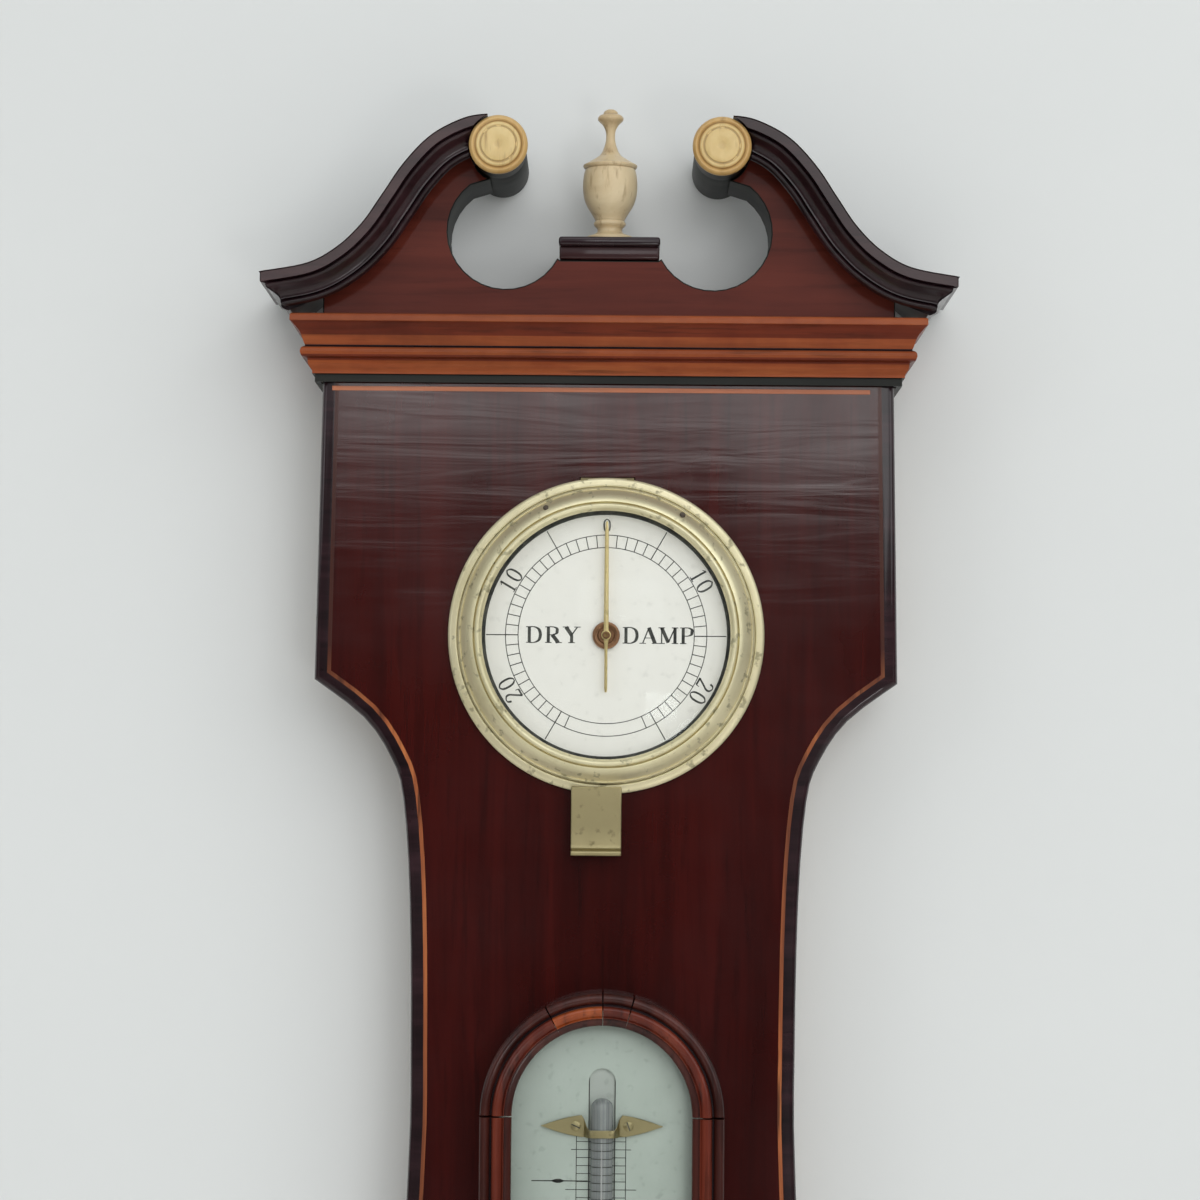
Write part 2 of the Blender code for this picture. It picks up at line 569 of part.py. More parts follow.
def make_dial():
    z = DIAL_Z
    centre = (0.0, SEAT, z)
    ring("main_dial", DIAL_RADIUS, 0.0026, 0.0015, centre, SILVERED, steps=40)
    bezel = bezel_ring("main_bezel", BEZEL_RADIUS, 0.1020, centre, 56)
    glass = domed_glass("main_glass", 0.1037, 0.1020, 0.0075, centre, 40)
    axis_x, axis_y = BEZEL_AXIS
    pivot("main_bezel_axis", axis_x, axis_y, z, bezel, glass)
    leaf = box("main_hinge", (axis_x - 0.0085, -0.0333, z - 0.012), (axis_x, SEAT, z + 0.012), BRASS)
    barrel = turned("main_barrel", [(0.0, 0.024), (0.0018, 0.024), (0.0018, 0.0), (0.0, 0.0)],
                    (axis_x, axis_y, z - 0.012), upright=True, steps=12)
    join(leaf, barrel)
    steel = hand("pressure_hand", needle(0.090, 0.034, 0.0060, 0.0060), 0.0, z, -0.0367, -0.0360,
                 ARBOR_RADIUS + GAP, BLUED)
    arbor = rod("pressure_arbor", ARBOR_RADIUS, -0.0376, -0.0030, 0.0, z, BLUED, steps=12)
    wheel = turned("pulley_wheel", grooved(WHEEL_RADIUS, 0.0014, 0.0030, ARBOR_RADIUS + GAP),
                   (0.0, WHEEL_Y + 0.0015, z), BRASS, steps=24)
    pivot("pressure_axis", 0.0, 0.0, z, steel, arbor, wheel)
    bridge = box("movement_bridge", (-0.040, -0.0058, z - 0.006), (0.040, -0.0043, z + 0.006), BRASS)
    join(bridge, box("bridge_foot_left", (-0.040, BOARD_BACK + GAP, z - 0.006), (-0.033, -0.0050, z + 0.006)),
         box("bridge_foot_right", (0.033, BOARD_BACK + GAP, z - 0.006), (0.040, -0.0050, z + 0.006)))
    cut(bridge, rod("cut_bridge", ARBOR_RADIUS + GAP, -0.010, 0.001, 0.0, z, steps=12))


def grooved(groove, rim, width, bore):
    """The closed section of a pulley with a V groove."""
    outer = groove + rim
    return [(outer, width), (outer, width * 0.82), (groove, width * 0.62), (groove, width * 0.38),
            (outer, width * 0.18), (outer, 0.0), (bore, 0.0), (bore, width), (outer, width)]


def make_setting():
    """The brass hand set by hand, on a sleeve that an endless cord turns from the key below."""
    z = DIAL_Z
    brass_hand = hand("set_hand", needle(0.082, 0.026, 0.0034, 0.0050), 0.0, z, -0.0352, -0.0346,
                      SLEEVE_RADIUS + GAP, BRASS)
    back = SET_WHEEL_Y + 0.0010
    groove = SET_WHEEL_RADIUS - 0.0010
    bore = ARBOR_RADIUS + GAP
    length = back + 0.0355
    sleeve = [(SLEEVE_RADIUS, length), (SLEEVE_RADIUS, 0.0020), (groove + 0.0012, 0.0020),
              (groove + 0.0012, 0.0016), (groove, 0.0013), (groove, 0.0007), (groove + 0.0012, 0.0004),
              (groove + 0.0012, 0.0), (bore, 0.0), (bore, length), (SLEEVE_RADIUS, length)]
    set_pulley = turned("set_pulley", sleeve, (0.0, back, z), BRASS, steps=24)
    pivot("set_axis", 0.0, 0.0, z, brass_hand, set_pulley)
    groove = KEY_WHEEL_RADIUS - 0.0010
    length = back + 0.0400
    stem = [(0.0, length), (0.0018, length), (0.0018, 0.0020), (groove + 0.0012, 0.0020),
            (groove + 0.0012, 0.0016), (groove, 0.0013), (groove, 0.0007), (groove + 0.0012, 0.0004),
            (groove + 0.0012, 0.0), (0.0, 0.0)]
    shaft = turned("key_shaft", stem, (0.0, back, KEY_Z), BRASS, steps=16)
    knob = turned("key_knob", [(0.0, 0.0130), (0.0030, 0.0126), (0.0052, 0.0110), (0.0062, 0.0085),
                               (0.0056, 0.0060), (0.0036, 0.0040), (0.0034, 0.0030), (0.0050, 0.0016),
                               (0.0050, 0.0), (0.0021, 0.0), (0.0021, 0.0062), (0.0, 0.0062)],
                  (0.0, -0.0345, KEY_Z), BONE, steps=20)
    pivot("key_axis", 0.0, 0.0, KEY_Z, shaft, knob)
    ring("key_collar", 0.0070, 0.0022, 0.0014, (0.0, SEAT, KEY_Z), BRASS, steps=20)
    top, low = SET_WHEEL_RADIUS - 0.0002, KEY_WHEEL_RADIUS - 0.0002
    lean = math.asin((top - low) / (DIAL_Z - KEY_Z))
    loop = arc((0.0, z), top, -lean, math.pi + lean, 16)
    loop += arc((0.0, KEY_Z), low, math.pi + lean, 2 * math.pi - lean, 10)
    tube("set_cord", [(x, SET_WHEEL_Y, height) for x, height in loop], 0.0004, SILK, cyclic=True,
         resolution=0)


def make_siphon():
    """The mercury tube, its float in the open short leg, and the float's counterweight."""
    bend = (WHEEL_RADIUS - LONG_LEG_X) / 2
    middle = (WHEEL_RADIUS + LONG_LEG_X) / 2
    curve = [(middle + x, BEND_Z + z) for x, z in arc((0.0, 0.0), bend, -math.pi, 0.0, 12)]
    path = [(LONG_LEG_X, TUBE_TOP), *curve, (WHEEL_RADIUS, SHORT_LEG_TOP)]
    glass = tube("siphon_tube", [(x, WHEEL_Y, z) for x, z in path], TUBE_RADIUS, GLASS)
    bore = turned("cut_bore", [(0.0, 0.150), (BORE_RADIUS, 0.150), (BORE_RADIUS, 0.0), (0.0, 0.0)],
                  (WHEEL_RADIUS, WHEEL_Y, BEND_Z + 0.002), upright=True, steps=14)
    cut(glass, bore)
    for name, x, z, radius, half in (("siphon_float", WHEEL_RADIUS, FLOAT_Z, 0.0031, FLOAT_HALF),
                                     ("counterweight", -WHEEL_RADIUS, WEIGHT_Z, 0.0024, WEIGHT_HALF)):
        profile = [(0.0, 2 * half), (radius * 0.6, 2 * half - 0.0004), (radius, 2 * half - 0.0020),
                   (radius, 0.0020), (radius * 0.6, 0.0004), (0.0, 0.0)]
        weight = turned(name, profile, (x, WHEEL_Y, z - half), LEAD, upright=True, steps=14)
        pivot(name + "_line", x, WHEEL_Y, z, weight)
    for place, z in (("upper", -0.150), ("lower", -0.420)):
        box("tube_strap_" + place, (-0.034, -0.0052, z - 0.004), (-0.006, -0.0040, z + 0.004), BRASS)
        cut(bpy.data.objects["case_carcass"],
            box("cut_strap_" + place, (-0.0345, -0.0056, z - 0.0045), (-0.0055, 0.001, z + 0.0045)))


def make_back_door():
    axis_x, axis_y = DOOR_AXIS
    door = box("back_door", (axis_x + 0.0020, -0.0029, DOOR_BOTTOM), (DOOR_HALF, -0.0007, DOOR_TOP), PINE)
    middle = (DOOR_TOP + DOOR_BOTTOM) / 2
    pivot("back_door_axis", axis_x, axis_y, middle, door)
    for place, z in (("upper", DOOR_TOP - 0.045), ("lower", DOOR_BOTTOM + 0.045)):
        turned("door_hinge_" + place, [(0.0, 0.030), (0.0013, 0.030), (0.0013, 0.0), (0.0, 0.0)],
               (axis_x, axis_y, z - 0.015), BRASS, upright=True, steps=10)


def make_level():
    half, height = 0.0240, 0.0075
    outline = [*arc((half - height, LEVEL_Z), height, -math.pi / 2, math.pi / 2, 9),
               *arc((height - half, LEVEL_Z), height, math.pi / 2, 3 * math.pi / 2, 9)]
    plate = board("level_plate", outline, SEAT - 0.0012, SEAT, SILVERED)
    cut(plate, box("cut_level_window", (-0.0130, -0.036, LEVEL_Z - 0.0024), (0.0130, -0.030, LEVEL_Z + 0.0024)))
    vial = turned("level_vial", [(0.0, 0.0380), (0.0020, 0.0376), (0.0032, 0.0360), (0.0032, 0.0020),
                                 (0.0020, 0.0004), (0.0, 0.0)], (-0.0190, -0.0286, LEVEL_Z), GLASS, steps=12)
    vial.rotation_euler = (0.0, math.pi / 2, 0.0)


make_case()
make_cornice()
make_pediment()
make_finial()
make_hygrometer()
make_thermometer()
make_dial()
make_setting()
make_siphon()
make_back_door()
make_level()
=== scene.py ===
"""The looks of the wheel barometer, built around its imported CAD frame.

Metres in the frame's own axes: X to the right, the front faces -Y, the wall is Y = 0, Z up, and the origin
is the hanging eye. A rise is a distance forward of a face. Pieces take their places from the CAD boxes.
"""

import json
import math

import bmesh
import bpy
from mathutils import Matrix, Vector


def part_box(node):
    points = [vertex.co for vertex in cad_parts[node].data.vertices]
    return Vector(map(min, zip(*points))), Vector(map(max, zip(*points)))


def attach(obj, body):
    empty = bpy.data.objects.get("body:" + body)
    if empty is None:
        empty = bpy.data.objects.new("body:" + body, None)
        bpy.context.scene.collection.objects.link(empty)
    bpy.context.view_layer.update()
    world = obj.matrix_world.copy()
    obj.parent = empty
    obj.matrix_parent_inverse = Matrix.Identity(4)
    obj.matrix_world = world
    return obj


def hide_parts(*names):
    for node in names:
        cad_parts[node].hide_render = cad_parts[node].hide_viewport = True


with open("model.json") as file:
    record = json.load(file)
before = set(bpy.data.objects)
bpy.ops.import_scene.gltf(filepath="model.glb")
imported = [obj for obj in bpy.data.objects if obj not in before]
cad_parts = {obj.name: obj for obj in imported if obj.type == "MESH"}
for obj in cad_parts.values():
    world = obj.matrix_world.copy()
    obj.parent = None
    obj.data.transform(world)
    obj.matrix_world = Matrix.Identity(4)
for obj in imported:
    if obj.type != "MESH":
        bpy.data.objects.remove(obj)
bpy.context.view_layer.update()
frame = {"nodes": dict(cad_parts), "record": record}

NODES = frame["nodes"]

# Driving places, read from the frame
CASE_LOW, CASE_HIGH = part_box("case_front")
CASE_FRONT = CASE_LOW.y
HYGRO_LOW, HYGRO_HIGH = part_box("hygro_dial")
SEAT = HYGRO_HIGH.y
HYGRO = Vector((0.0, SEAT, (HYGRO_LOW.z + HYGRO_HIGH.z) / 2))
DIAL_LOW, DIAL_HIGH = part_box("main_dial")
DIAL = Vector((0.0, SEAT, (DIAL_LOW.z + DIAL_HIGH.z) / 2))


# The mouldings' side runs stop here, short of the wall
RETURN_BACK = -0.002


# ---------------------------------------------------------------- shapes

def mm(*points):
    """Points given in millimetres, as metres."""
    return [(a / 1000, b / 1000) for a, b in points]


def piece(name, mesh, materials, body, smooth=30.0):
    """A new visible piece, with its materials, riding on a CAD body."""
    made = bpy.data.objects.new(name, mesh)
    bpy.context.scene.collection.objects.link(made)
    for material in materials if isinstance(materials, (list, tuple)) else [materials]:
        mesh.materials.append(material)
    mesh.shade_smooth()
    if smooth is not None:
        mesh.set_sharp_from_angle(angle=math.radians(smooth))
    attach(made, body)
    return made


def to_mesh(name, shape):
    mesh = bpy.data.meshes.new(name)
    shape.to_mesh(mesh)
    shape.free()
    return mesh


def stands_for(made, *nodes):
    """The piece takes the place of CAD nodes, which it hides."""
    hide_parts(*nodes)
    return made


def curved(points, count=5):
    """A Catmull-Rom curve through points. A point given twice in a row is a sharp corner."""
    runs, run = [], [points[0]]
    for point in points[1:]:
        if point == run[-1]:
            runs.append(run)
            run = [point]
        else:
            run.append(point)
    runs.append(run)
    made = [points[0]]
    for run in runs:
        ends = [run[0], *run, run[-1]]
        for before, start, stop, after in zip(ends, ends[1:], ends[2:], ends[3:]):
            for i in range(1, count + 1):
                t = i / count
                made.append(
                    tuple(0.5 * (2 * p + (q - o) * t + (2 * o - 5 * p + 4 * q - r) * t * t + (3 * p - o - 3
                    * q + r) * t ** 3) for o, p, q, r in zip(before, start, stop, after)))
    return made


def arc(centre, radius, start, stop, count):
    """Points on a circle, in degrees from +X towards +Z."""
    angles = [math.radians(start + (stop - start) * i / (count - 1)) for i in range(count)]
    return [(centre[0] + radius * math.cos(a), centre[1] + radius * math.sin(a)) for a in angles]


def mirrored(half):
    """A right half outline, top to bottom, closed by its mirror image."""
    return half + [(-x, z) for x, z in reversed(half) if x > 1e-6]


def lathe(name, profile, place, materials, body, upright=False, steps=96, split=None, smooth=30.0):
    """A (radius, rise) profile turned about an axis that faces forward, or up where upright.

    split gives a face's material slot from its middle radius and rise."""
    shape = bmesh.new()
    rings = []
    for radius, rise in profile:
        if radius < 1e-7:
            rings.append([shape.verts.new((0.0, 0.0, rise))])
            continue
        angles = [2 * math.pi * i / steps for i in range(steps)]
        rings.append([shape.verts.new((radius * math.cos(a), radius * math.sin(a), rise)) for a in angles])
    pairs = list(zip(rings, rings[1:]))
    for upper, lower in pairs:
        for i in range(steps):
            j = (i + 1) % steps
            corners = {
                0: upper[i % len(upper)], 1: lower[i % len(lower)], 2: lower[j % len(lower)],
                3: upper[j % len(upper)]}
            ordered = list(dict.fromkeys(corners.values()))
            if len(ordered) > 2:
                face = shape.faces.new(ordered)
                if split:
                    middle = face.calc_center_median()
                    face.material_index = split(math.hypot(middle.x, middle.y), middle.z)
    if profile[0] == profile[-1] and profile[0][0] > 1e-7:
        bmesh.ops.remove_doubles(shape, verts=shape.verts, dist=1e-7)
    bmesh.ops.recalc_face_normals(shape, faces=shape.faces)
    turn = Matrix.Identity(4) if upright else Matrix.Rotation(math.pi / 2, 4, "X")
    shape.transform(Matrix.Translation(place) @ turn)
    return piece(name, to_mesh(name, shape), materials, body, smooth)


def board(
        name, outline, front, back, materials, body, edge=0.0, rounding=3, holes=(), smooth=30.0,
        strips=()):
    """A flat piece with an (x, z) outline, its front arris rounded by edge.

    strips are (inset, slot) pairs: from that inset inwards the front face takes that material slot."""
    shape = bmesh.new()
    levels = [(0.0, back)]
    for i in range(rounding + 1):
        a = math.pi / 2 * i / rounding
        levels.append((edge * (1 - math.cos(a)), front + edge * (1 - math.sin(a))))
    if not edge:
        levels = [(0.0, back), (0.0, front)]
    levels += [(inset, front) for inset, _ in strips]
    normals = outline_normals(outline)
    rings = []
    for inset, depth in levels:
        rings.append(
            [shape.verts.new((x - nx * inset, depth, z - nz * inset)) for (x, z),
            (nx, nz) in zip(outline, normals)])
    count = len(outline)
    strip_slots = [0] + [slot for _, slot in strips]
    for k, (outer, inner) in enumerate(zip(rings, rings[1:])):
        number = k - (len(rings) - 1 - len(strips))
        for i in range(count):
            face = shape.faces.new((outer[i], outer[(i + 1) % count], inner[(i + 1) % count], inner[i]))
            face.material_index = strip_slots[number] if number >= 0 else 0
    inner_edges = [shape.edges.get((rings[-1][i], rings[-1][(i + 1) % count])) for i in range(count)]
    back_edges = [shape.edges.get((rings[0][i], rings[0][(i + 1) % count])) for i in range(count)]
    for hole in holes:
        near = [shape.verts.new((x, front, z)) for x, z in hole]
        far = [shape.verts.new((x, back, z)) for x, z in hole]
        for i in range(len(hole)):
            j = (i + 1) % len(hole)
            shape.faces.new((near[i], near[j], far[j], far[i]))
            inner_edges.append(shape.edges.get((near[i], near[j])))
            back_edges.append(shape.edges.get((far[i], far[j])))
    for edges, slot in ((inner_edges, strip_slots[-1]), (back_edges, 0)):
        made = bmesh.ops.triangle_fill(shape, use_beauty=True, edges=edges)["geom"]
        for face in made:
            if isinstance(face, bmesh.types.BMFace):
                face.material_index = slot
    bmesh.ops.recalc_face_normals(shape, faces=shape.faces)
    return piece(name, to_mesh(name, shape), materials, body, smooth)


def outline_normals(outline):
    """Outward unit normals of a closed (x, z) outline, lengthened at corners so that insets stay parallel."""
    area = sum(a[0] * b[1] - b[0] * a[1] for a, b in zip(outline, outline[1:] + outline[:1]))
    turn = 1 if area > 0 else -1
    made = []
    for i, point in enumerate(outline):
        before, after = outline[i - 1], outline[(i + 1) % len(outline)]
        first = Vector((point[1] - before[1], before[0] - point[0])).normalized() * turn
        second = Vector((after[1] - point[1], point[0] - after[0])).normalized() * turn
        middle = (first + second).normalized()
        made.append(tuple(middle / max(0.35, middle.dot(first))))
    return made


def swept(name, path, section, materials, body, slots=None, limit=None, smooth=35.0):
    """A moulding: a closed (across, rise) section carried along (x, z) points and standing on the case.

    slots gives each side's material slot, and limit may move each (x, z, rise) to another (x, z)."""
    shape = bmesh.new()
    rings = []
    for i, (x, z) in enumerate(path):
        before, after = path[max(i - 1, 0)], path[min(i + 1, len(path) - 1)]
        along = Vector((after[0] - before[0], after[1] - before[1])).normalized()
        across = Vector((-along.y, along.x))
        ring = []
        for a, rise in section:
            point = (x + across.x * a, z + across.y * a)
            px, pz = limit(*point, rise) if limit else point
            ring.append(shape.verts.new((px, SEAT - rise, pz)))
        rings.append(ring)
    count = len(section)
    for first, second in zip(rings, rings[1:]):
        for i in range(count):
            face = shape.faces.new((first[i], first[(i + 1) % count], second[(i + 1) % count], second[i]))
            face.material_index = slots[i] if slots else 0
    shape.faces.new(rings[0])
    shape.faces.new(rings[-1])
    bmesh.ops.recalc_face_normals(shape, faces=shape.faces)
    return piece(name, to_mesh(name, shape), materials, body, smooth)


# ---------------------------------------------------------------- materials

def tone(red, green, blue):
    """A display colour, 0 to 255, as a linear one."""
    return (
        *[(c / 255 / 12.92 if c < 11 else ((c / 255 + 0.055) / 1.055) ** 2.4) for c in (red, green, blue)],
        1.0)


class Finish:
    """A node material, written as a chain of short calls that each return a socket."""

    def __init__(self, name):
        self.material = bpy.data.materials.new(name)
        self.material.use_nodes = True
        self.nodes = self.material.node_tree.nodes
        self.links = self.material.node_tree.links
        self.shader = self.nodes["Principled BSDF"]
        self.place = self.nodes.new("ShaderNodeTexCoord").outputs["Object"]

    def put(self, socket, value):
        if isinstance(value, bpy.types.NodeSocket):
            self.links.new(value, socket)
        else:
            socket.default_value = value

    def at(self, scale, turn=(0.0, 0.0, 0.0), shift=(0.0, 0.0, 0.0)):
        """Places stretched by a scale along each axis."""
        node = self.nodes.new("ShaderNodeMapping")
        self.put(node.inputs["Vector"], self.place)
        node.inputs["Scale"].default_value = scale
        node.inputs["Rotation"].default_value = turn
        node.inputs["Location"].default_value = shift
        return node.outputs["Vector"]

    def noise(self, where, scale=1.0, detail=4.0, rough=0.55, twist=0.0):
        node = self.nodes.new("ShaderNodeTexNoise")
        self.put(node.inputs["Vector"], where)
        node.inputs["Scale"].default_value = scale
        node.inputs["Detail"].default_value = detail
        node.inputs["Roughness"].default_value = rough
        node.inputs["Distortion"].default_value = twist
        return node.outputs["Fac"]

    def ramp(self, value, *stops):
        """Colours, or plain levels, at stops of a value."""
        node = self.nodes.new("ShaderNodeValToRGB")
        self.put(node.inputs["Fac"], value)
        elements = node.color_ramp.elements
        while len(elements) < len(stops):
            elements.new(0.5)
        for element, (place, colour) in zip(elements, stops):
            element.position = place
            element.color = colour if isinstance(colour, tuple) else (colour, colour, colour, 1.0)
        return node.outputs["Color"]

    def mix(self, share, low, high, how="MIX"):
        node = self.nodes.new("ShaderNodeMix")
        node.data_type = "RGBA"
        node.blend_type = how
        self.put(node.inputs["Factor"], share)
        self.put(node.inputs[6], low)
        self.put(node.inputs[7], high)
        return node.outputs[2]

    def sum(self, how, first, second=0.5):
        node = self.nodes.new("ShaderNodeMath")
        node.operation = how
        self.put(node.inputs[0], first)
        self.put(node.inputs[1], second)
        return node.outputs[0]

    def bump(self, height, strength=0.3, distance=0.0002, under=None):
        node = self.nodes.new("ShaderNodeBump")
        self.put(node.inputs["Height"], height)
        node.inputs["Strength"].default_value = strength
        node.inputs["Distance"].default_value = distance
        if under:
            self.put(node.inputs["Normal"], under)
        return node.outputs["Normal"]

    def edge(self):
        """High on outward edges, where wear shows."""
        node = self.nodes.new("ShaderNodeNewGeometry")
        return self.ramp(node.outputs["Pointiness"], (0.50, 0.0), (0.56, 1.0))

    def done(self, **sockets):
        for socket, value in sockets.items():
            self.put(self.shader.inputs[socket.replace("_", " ")], value)
        return self.material


def polished_wood(
        name, *tones, along="X", ripple=0.0, coat=0.5, rough=0.35, figure=0.5, shine=0.25, faded=None):
    """French-polished wood in a dark, a middle and a light tone: grain along an axis, pores and worn edges.

    faded gives the heights between which the colour turns dark."""
    made = Finish(name)
    dark, middle, light = (tone(*colour) for colour in tones)
    long_way = {"X": (4.0, 60.0, 60.0), "Z": (60.0, 60.0, 4.0), "Y": (60.0, 4.0, 60.0)}[along]
    pores = tuple(v * 9 for v in long_way)
    grain = made.noise(made.at(long_way), 2.2, 8.0, 0.62, 0.6)
    broad = made.noise(made.at(tuple(v * 0.16 for v in long_way)), 1.0, 3.0, 0.5, 1.2)
    fine = made.noise(made.at(pores), 1.0, 3.0, 0.6)
    colour = made.ramp(grain, (0.28, dark), (0.5, middle), (0.74, light))
    shade = made.ramp(broad, (0.3, 1.0 - 0.55 * figure), (0.7, 1.0 + 0.35 * figure))
    colour = made.mix(1.0, colour, shade, "MULTIPLY")
    colour = made.mix(
        made.ramp(fine, (0.32, 0.25 + 0.5 * figure), (0.44, 0.0)), colour,
        tuple(0.35 * c for c in dark[:3]) + (1.0,))
    if faded:
        height = made.nodes.new("ShaderNodeSeparateXYZ")
        made.put(height.inputs[0], made.at((1.0, 1.0, 1.0)))
        level = made.nodes.new("ShaderNodeMapRange")
        made.put(level.inputs["Value"], height.outputs["Z"])
        level.inputs["From Min"].default_value, level.inputs["From Max"].default_value = faded
        level.inputs["To Max"].default_value = 0.92
        colour = made.mix(level.outputs[0], colour, tone(46, 11, 8))
    worn = made.sum("MULTIPLY", made.edge(), made.noise(made.at((90.0, 90.0, 90.0)), 1.0, 4.0))
    colour = made.mix(made.sum("MULTIPLY", worn, 0.0 if faded else 0.5), colour, light)
    smudge = made.noise(made.at((25.0, 25.0, 25.0)), 1.0, 5.0, 0.6)
    roughness = made.ramp(smudge, (0.3, rough - 0.07), (0.75, rough + 0.12))
    normal = made.bump(fine, 0.10, 0.00006)
    uneven = made.bump(made.noise(made.at((14.0, 14.0, 160.0)), 1.0, 3.0, 0.5, 0.5), 0.12, 0.0001 + ripple)
    return made.done(
        Base_Color=colour, Roughness=roughness, Normal=normal, Coat_Weight=coat,
        Coat_Roughness=made.ramp(smudge, (0.3, 0.07), (0.8, 0.18)), Coat_Normal=uneven,
        Specular_IOR_Level=shine)


def aged_metal(name, bright, dim, rough, specks=0.35, brushed=None, patina=0.5, metallic=1.0):
    """Old metal: cloudy tarnish, dark specks, and fine lines along a direction where brushed."""
    made = Finish(name)
    colour, dull = tone(*bright), tone(*dim)
    cloud = made.noise(made.at((30.0, 30.0, 30.0)), 1.0, 7.0, 0.65)
    speck = made.noise(made.at((420.0, 420.0, 420.0)), 1.0, 3.0, 0.5)
    lines = made.noise(made.at(brushed or (900.0, 60.0, 60.0)), 1.0, 3.0, 0.6)
    paint = made.mix(made.ramp(cloud, (0.35, 0.0), (0.72, patina)), colour, dull)
    dark = tuple(0.25 * c for c in dull[:3]) + (1.0,)
    paint = made.mix(made.sum("MULTIPLY", made.ramp(speck, (0.60, 0.0), (0.68, 1.0)), specks), paint, dark)
    paint = made.mix(
        made.sum("MULTIPLY", made.edge(), 0.4), paint,
        tuple(min(1.0, 1.3 * c) for c in colour[:3]) + (1.0,))
    roughness = made.sum(
        "ADD", made.ramp(cloud, (0.3, rough - 0.05), (0.75, rough + 0.15)), made.sum("MULTIPLY",
        made.ramp(speck, (0.58, 0.0), (0.7, 1.0)), 0.25))
    return made.done(
        Base_Color=paint, Metallic=metallic, Roughness=roughness, Normal=made.bump(lines, 0.12, 0.00003,
        made.bump(cloud, 0.05, 0.0003)))


MAHOGANY = polished_wood(
    "mahogany_veneer", (38, 4, 3), (50, 6, 4), (64, 11, 7), along="Z", ripple=0.0003, coat=0.9, rough=0.3,
    figure=0.15, shine=0.06)
PEDIMENT_WOOD = polished_wood(
    "pediment_veneer", (66, 25, 18), (84, 34, 25), (98, 43, 32), coat=0.12, rough=0.46, figure=0.08,
    shine=0.05)
CORNICE_WOOD = polished_wood(
    "cornice_crossband", (74, 24, 11), (134, 58, 30), (176, 98, 52), coat=0.2, rough=0.38, figure=0.8,
    shine=0.1)
NECK_WOOD = polished_wood(
    "swan_neck_wood", (18, 9, 11), (36, 19, 23), (58, 36, 40), coat=0.6, rough=0.32, figure=0.4, shine=0.15)
NECK_EDGE = polished_wood(
    "swan_neck_edge", (30, 14, 15), (50, 28, 30), (70, 44, 44), rough=0.34, figure=0.4, shine=0.15)
# A darker copy of the cornice wood: painted shade for the cove under the top fillet and for the band under
# the bead.
COVE_PAINTED_SHADE = polished_wood(
    "cornice_cove_painted_shade", (46, 13, 6), (98, 34, 18), (134, 60, 34), coat=0.2, rough=0.38, figure=0.8, shine=0.1)
FRAME_WOOD = polished_wood(
    "thermometer_frame", (26, 10, 9), (56, 24, 20), (86, 42, 34), along="Z", coat=0.4, rough=0.38,
    figure=0.6, shine=0.15)
BAND_WOOD = polished_wood(
    "thermometer_band", (46, 14, 9), (84, 30, 20), (118, 52, 34), along="Z", coat=0.4, rough=0.38,
    figure=0.8, shine=0.15)
PATCH_WOOD = polished_wood(
    "orange_patch", (88, 32, 12), (136, 60, 24), (166, 84, 40), along="Z", coat=0.4, rough=0.4)
EBONISED = polished_wood(
    "ebonised_edge", (14, 7, 9), (32, 17, 21), (54, 33, 38), coat=0.7, rough=0.3, figure=0.4, shine=0.15)
EDGE_BLACK = polished_wood(
    "board_edge", (9, 11, 9), (20, 22, 19), (38, 38, 32), coat=0.15, rough=0.5, figure=0.4, shine=0.1)
STRINGING = polished_wood(
    "boxwood_line", (70, 30, 16), (148, 80, 42), (190, 118, 66), along="Z", coat=0.4, rough=0.4, figure=1.0,
    faded=(-0.078, -0.058))
LINE_WOOD = polished_wood(
    "inlay_line", (120, 62, 34), (164, 92, 58), (184, 112, 74), coat=0.3, rough=0.4, figure=0.2)
PINE = polished_wood(
    "old_pine", (74, 52, 32), (124, 92, 58), (158, 124, 82), along="Z", coat=0.0, rough=0.75)
BRASS = aged_metal(
    "lacquered_brass", (238, 228, 190), (190, 178, 136), 0.38, specks=0.5, patina=0.7, metallic=0.75)
FITTING_BRASS = aged_metal(
    "fitting_brass", (176, 164, 124), (114, 102, 68), 0.36, specks=0.4, brushed=(60.0, 60.0, 900.0))
COPPER = aged_metal("hub_copper", (150, 112, 84), (88, 62, 46), 0.34)
STEEL = aged_metal("blued_steel", (44, 52, 74), (30, 26, 26), 0.28, specks=0.3)
IRON = aged_metal("screw_iron", (92, 84, 76), (52, 40, 32), 0.45, specks=0.6)
LEAD = aged_metal("lead_weight", (92, 94, 98), (64, 64, 66), 0.6, specks=0.3)
SILVERED = aged_metal(
    "silvered_dial", (232, 228, 222), (214, 208, 198), 0.5, specks=0.15, brushed=(500.0, 500.0, 40.0),
    patina=0.6, metallic=0.1)
PLATE_SILVER = aged_metal(
    "silvered_plate", (178, 188, 180), (146, 156, 146), 0.42, specks=0.2, brushed=(40.0, 500.0, 900.0),
    patina=0.8, metallic=0.25)
HAND_BRASS = aged_metal("hand_brass", (226, 206, 150), (178, 152, 96), 0.26)


def ink():
    """Black wax in an engraved line, thin in places."""
    made = Finish("engraving_wax")
    spread = made.noise(made.at((260.0, 260.0, 260.0)), 1.0, 4.0, 0.6)
    return made.done(
        Base_Color=made.ramp(spread, (0.35, tone(32, 34, 32)), (0.75, tone(88, 88, 82))),
        Roughness=made.ramp(spread, (0.3, 0.45), (0.7, 0.7)))


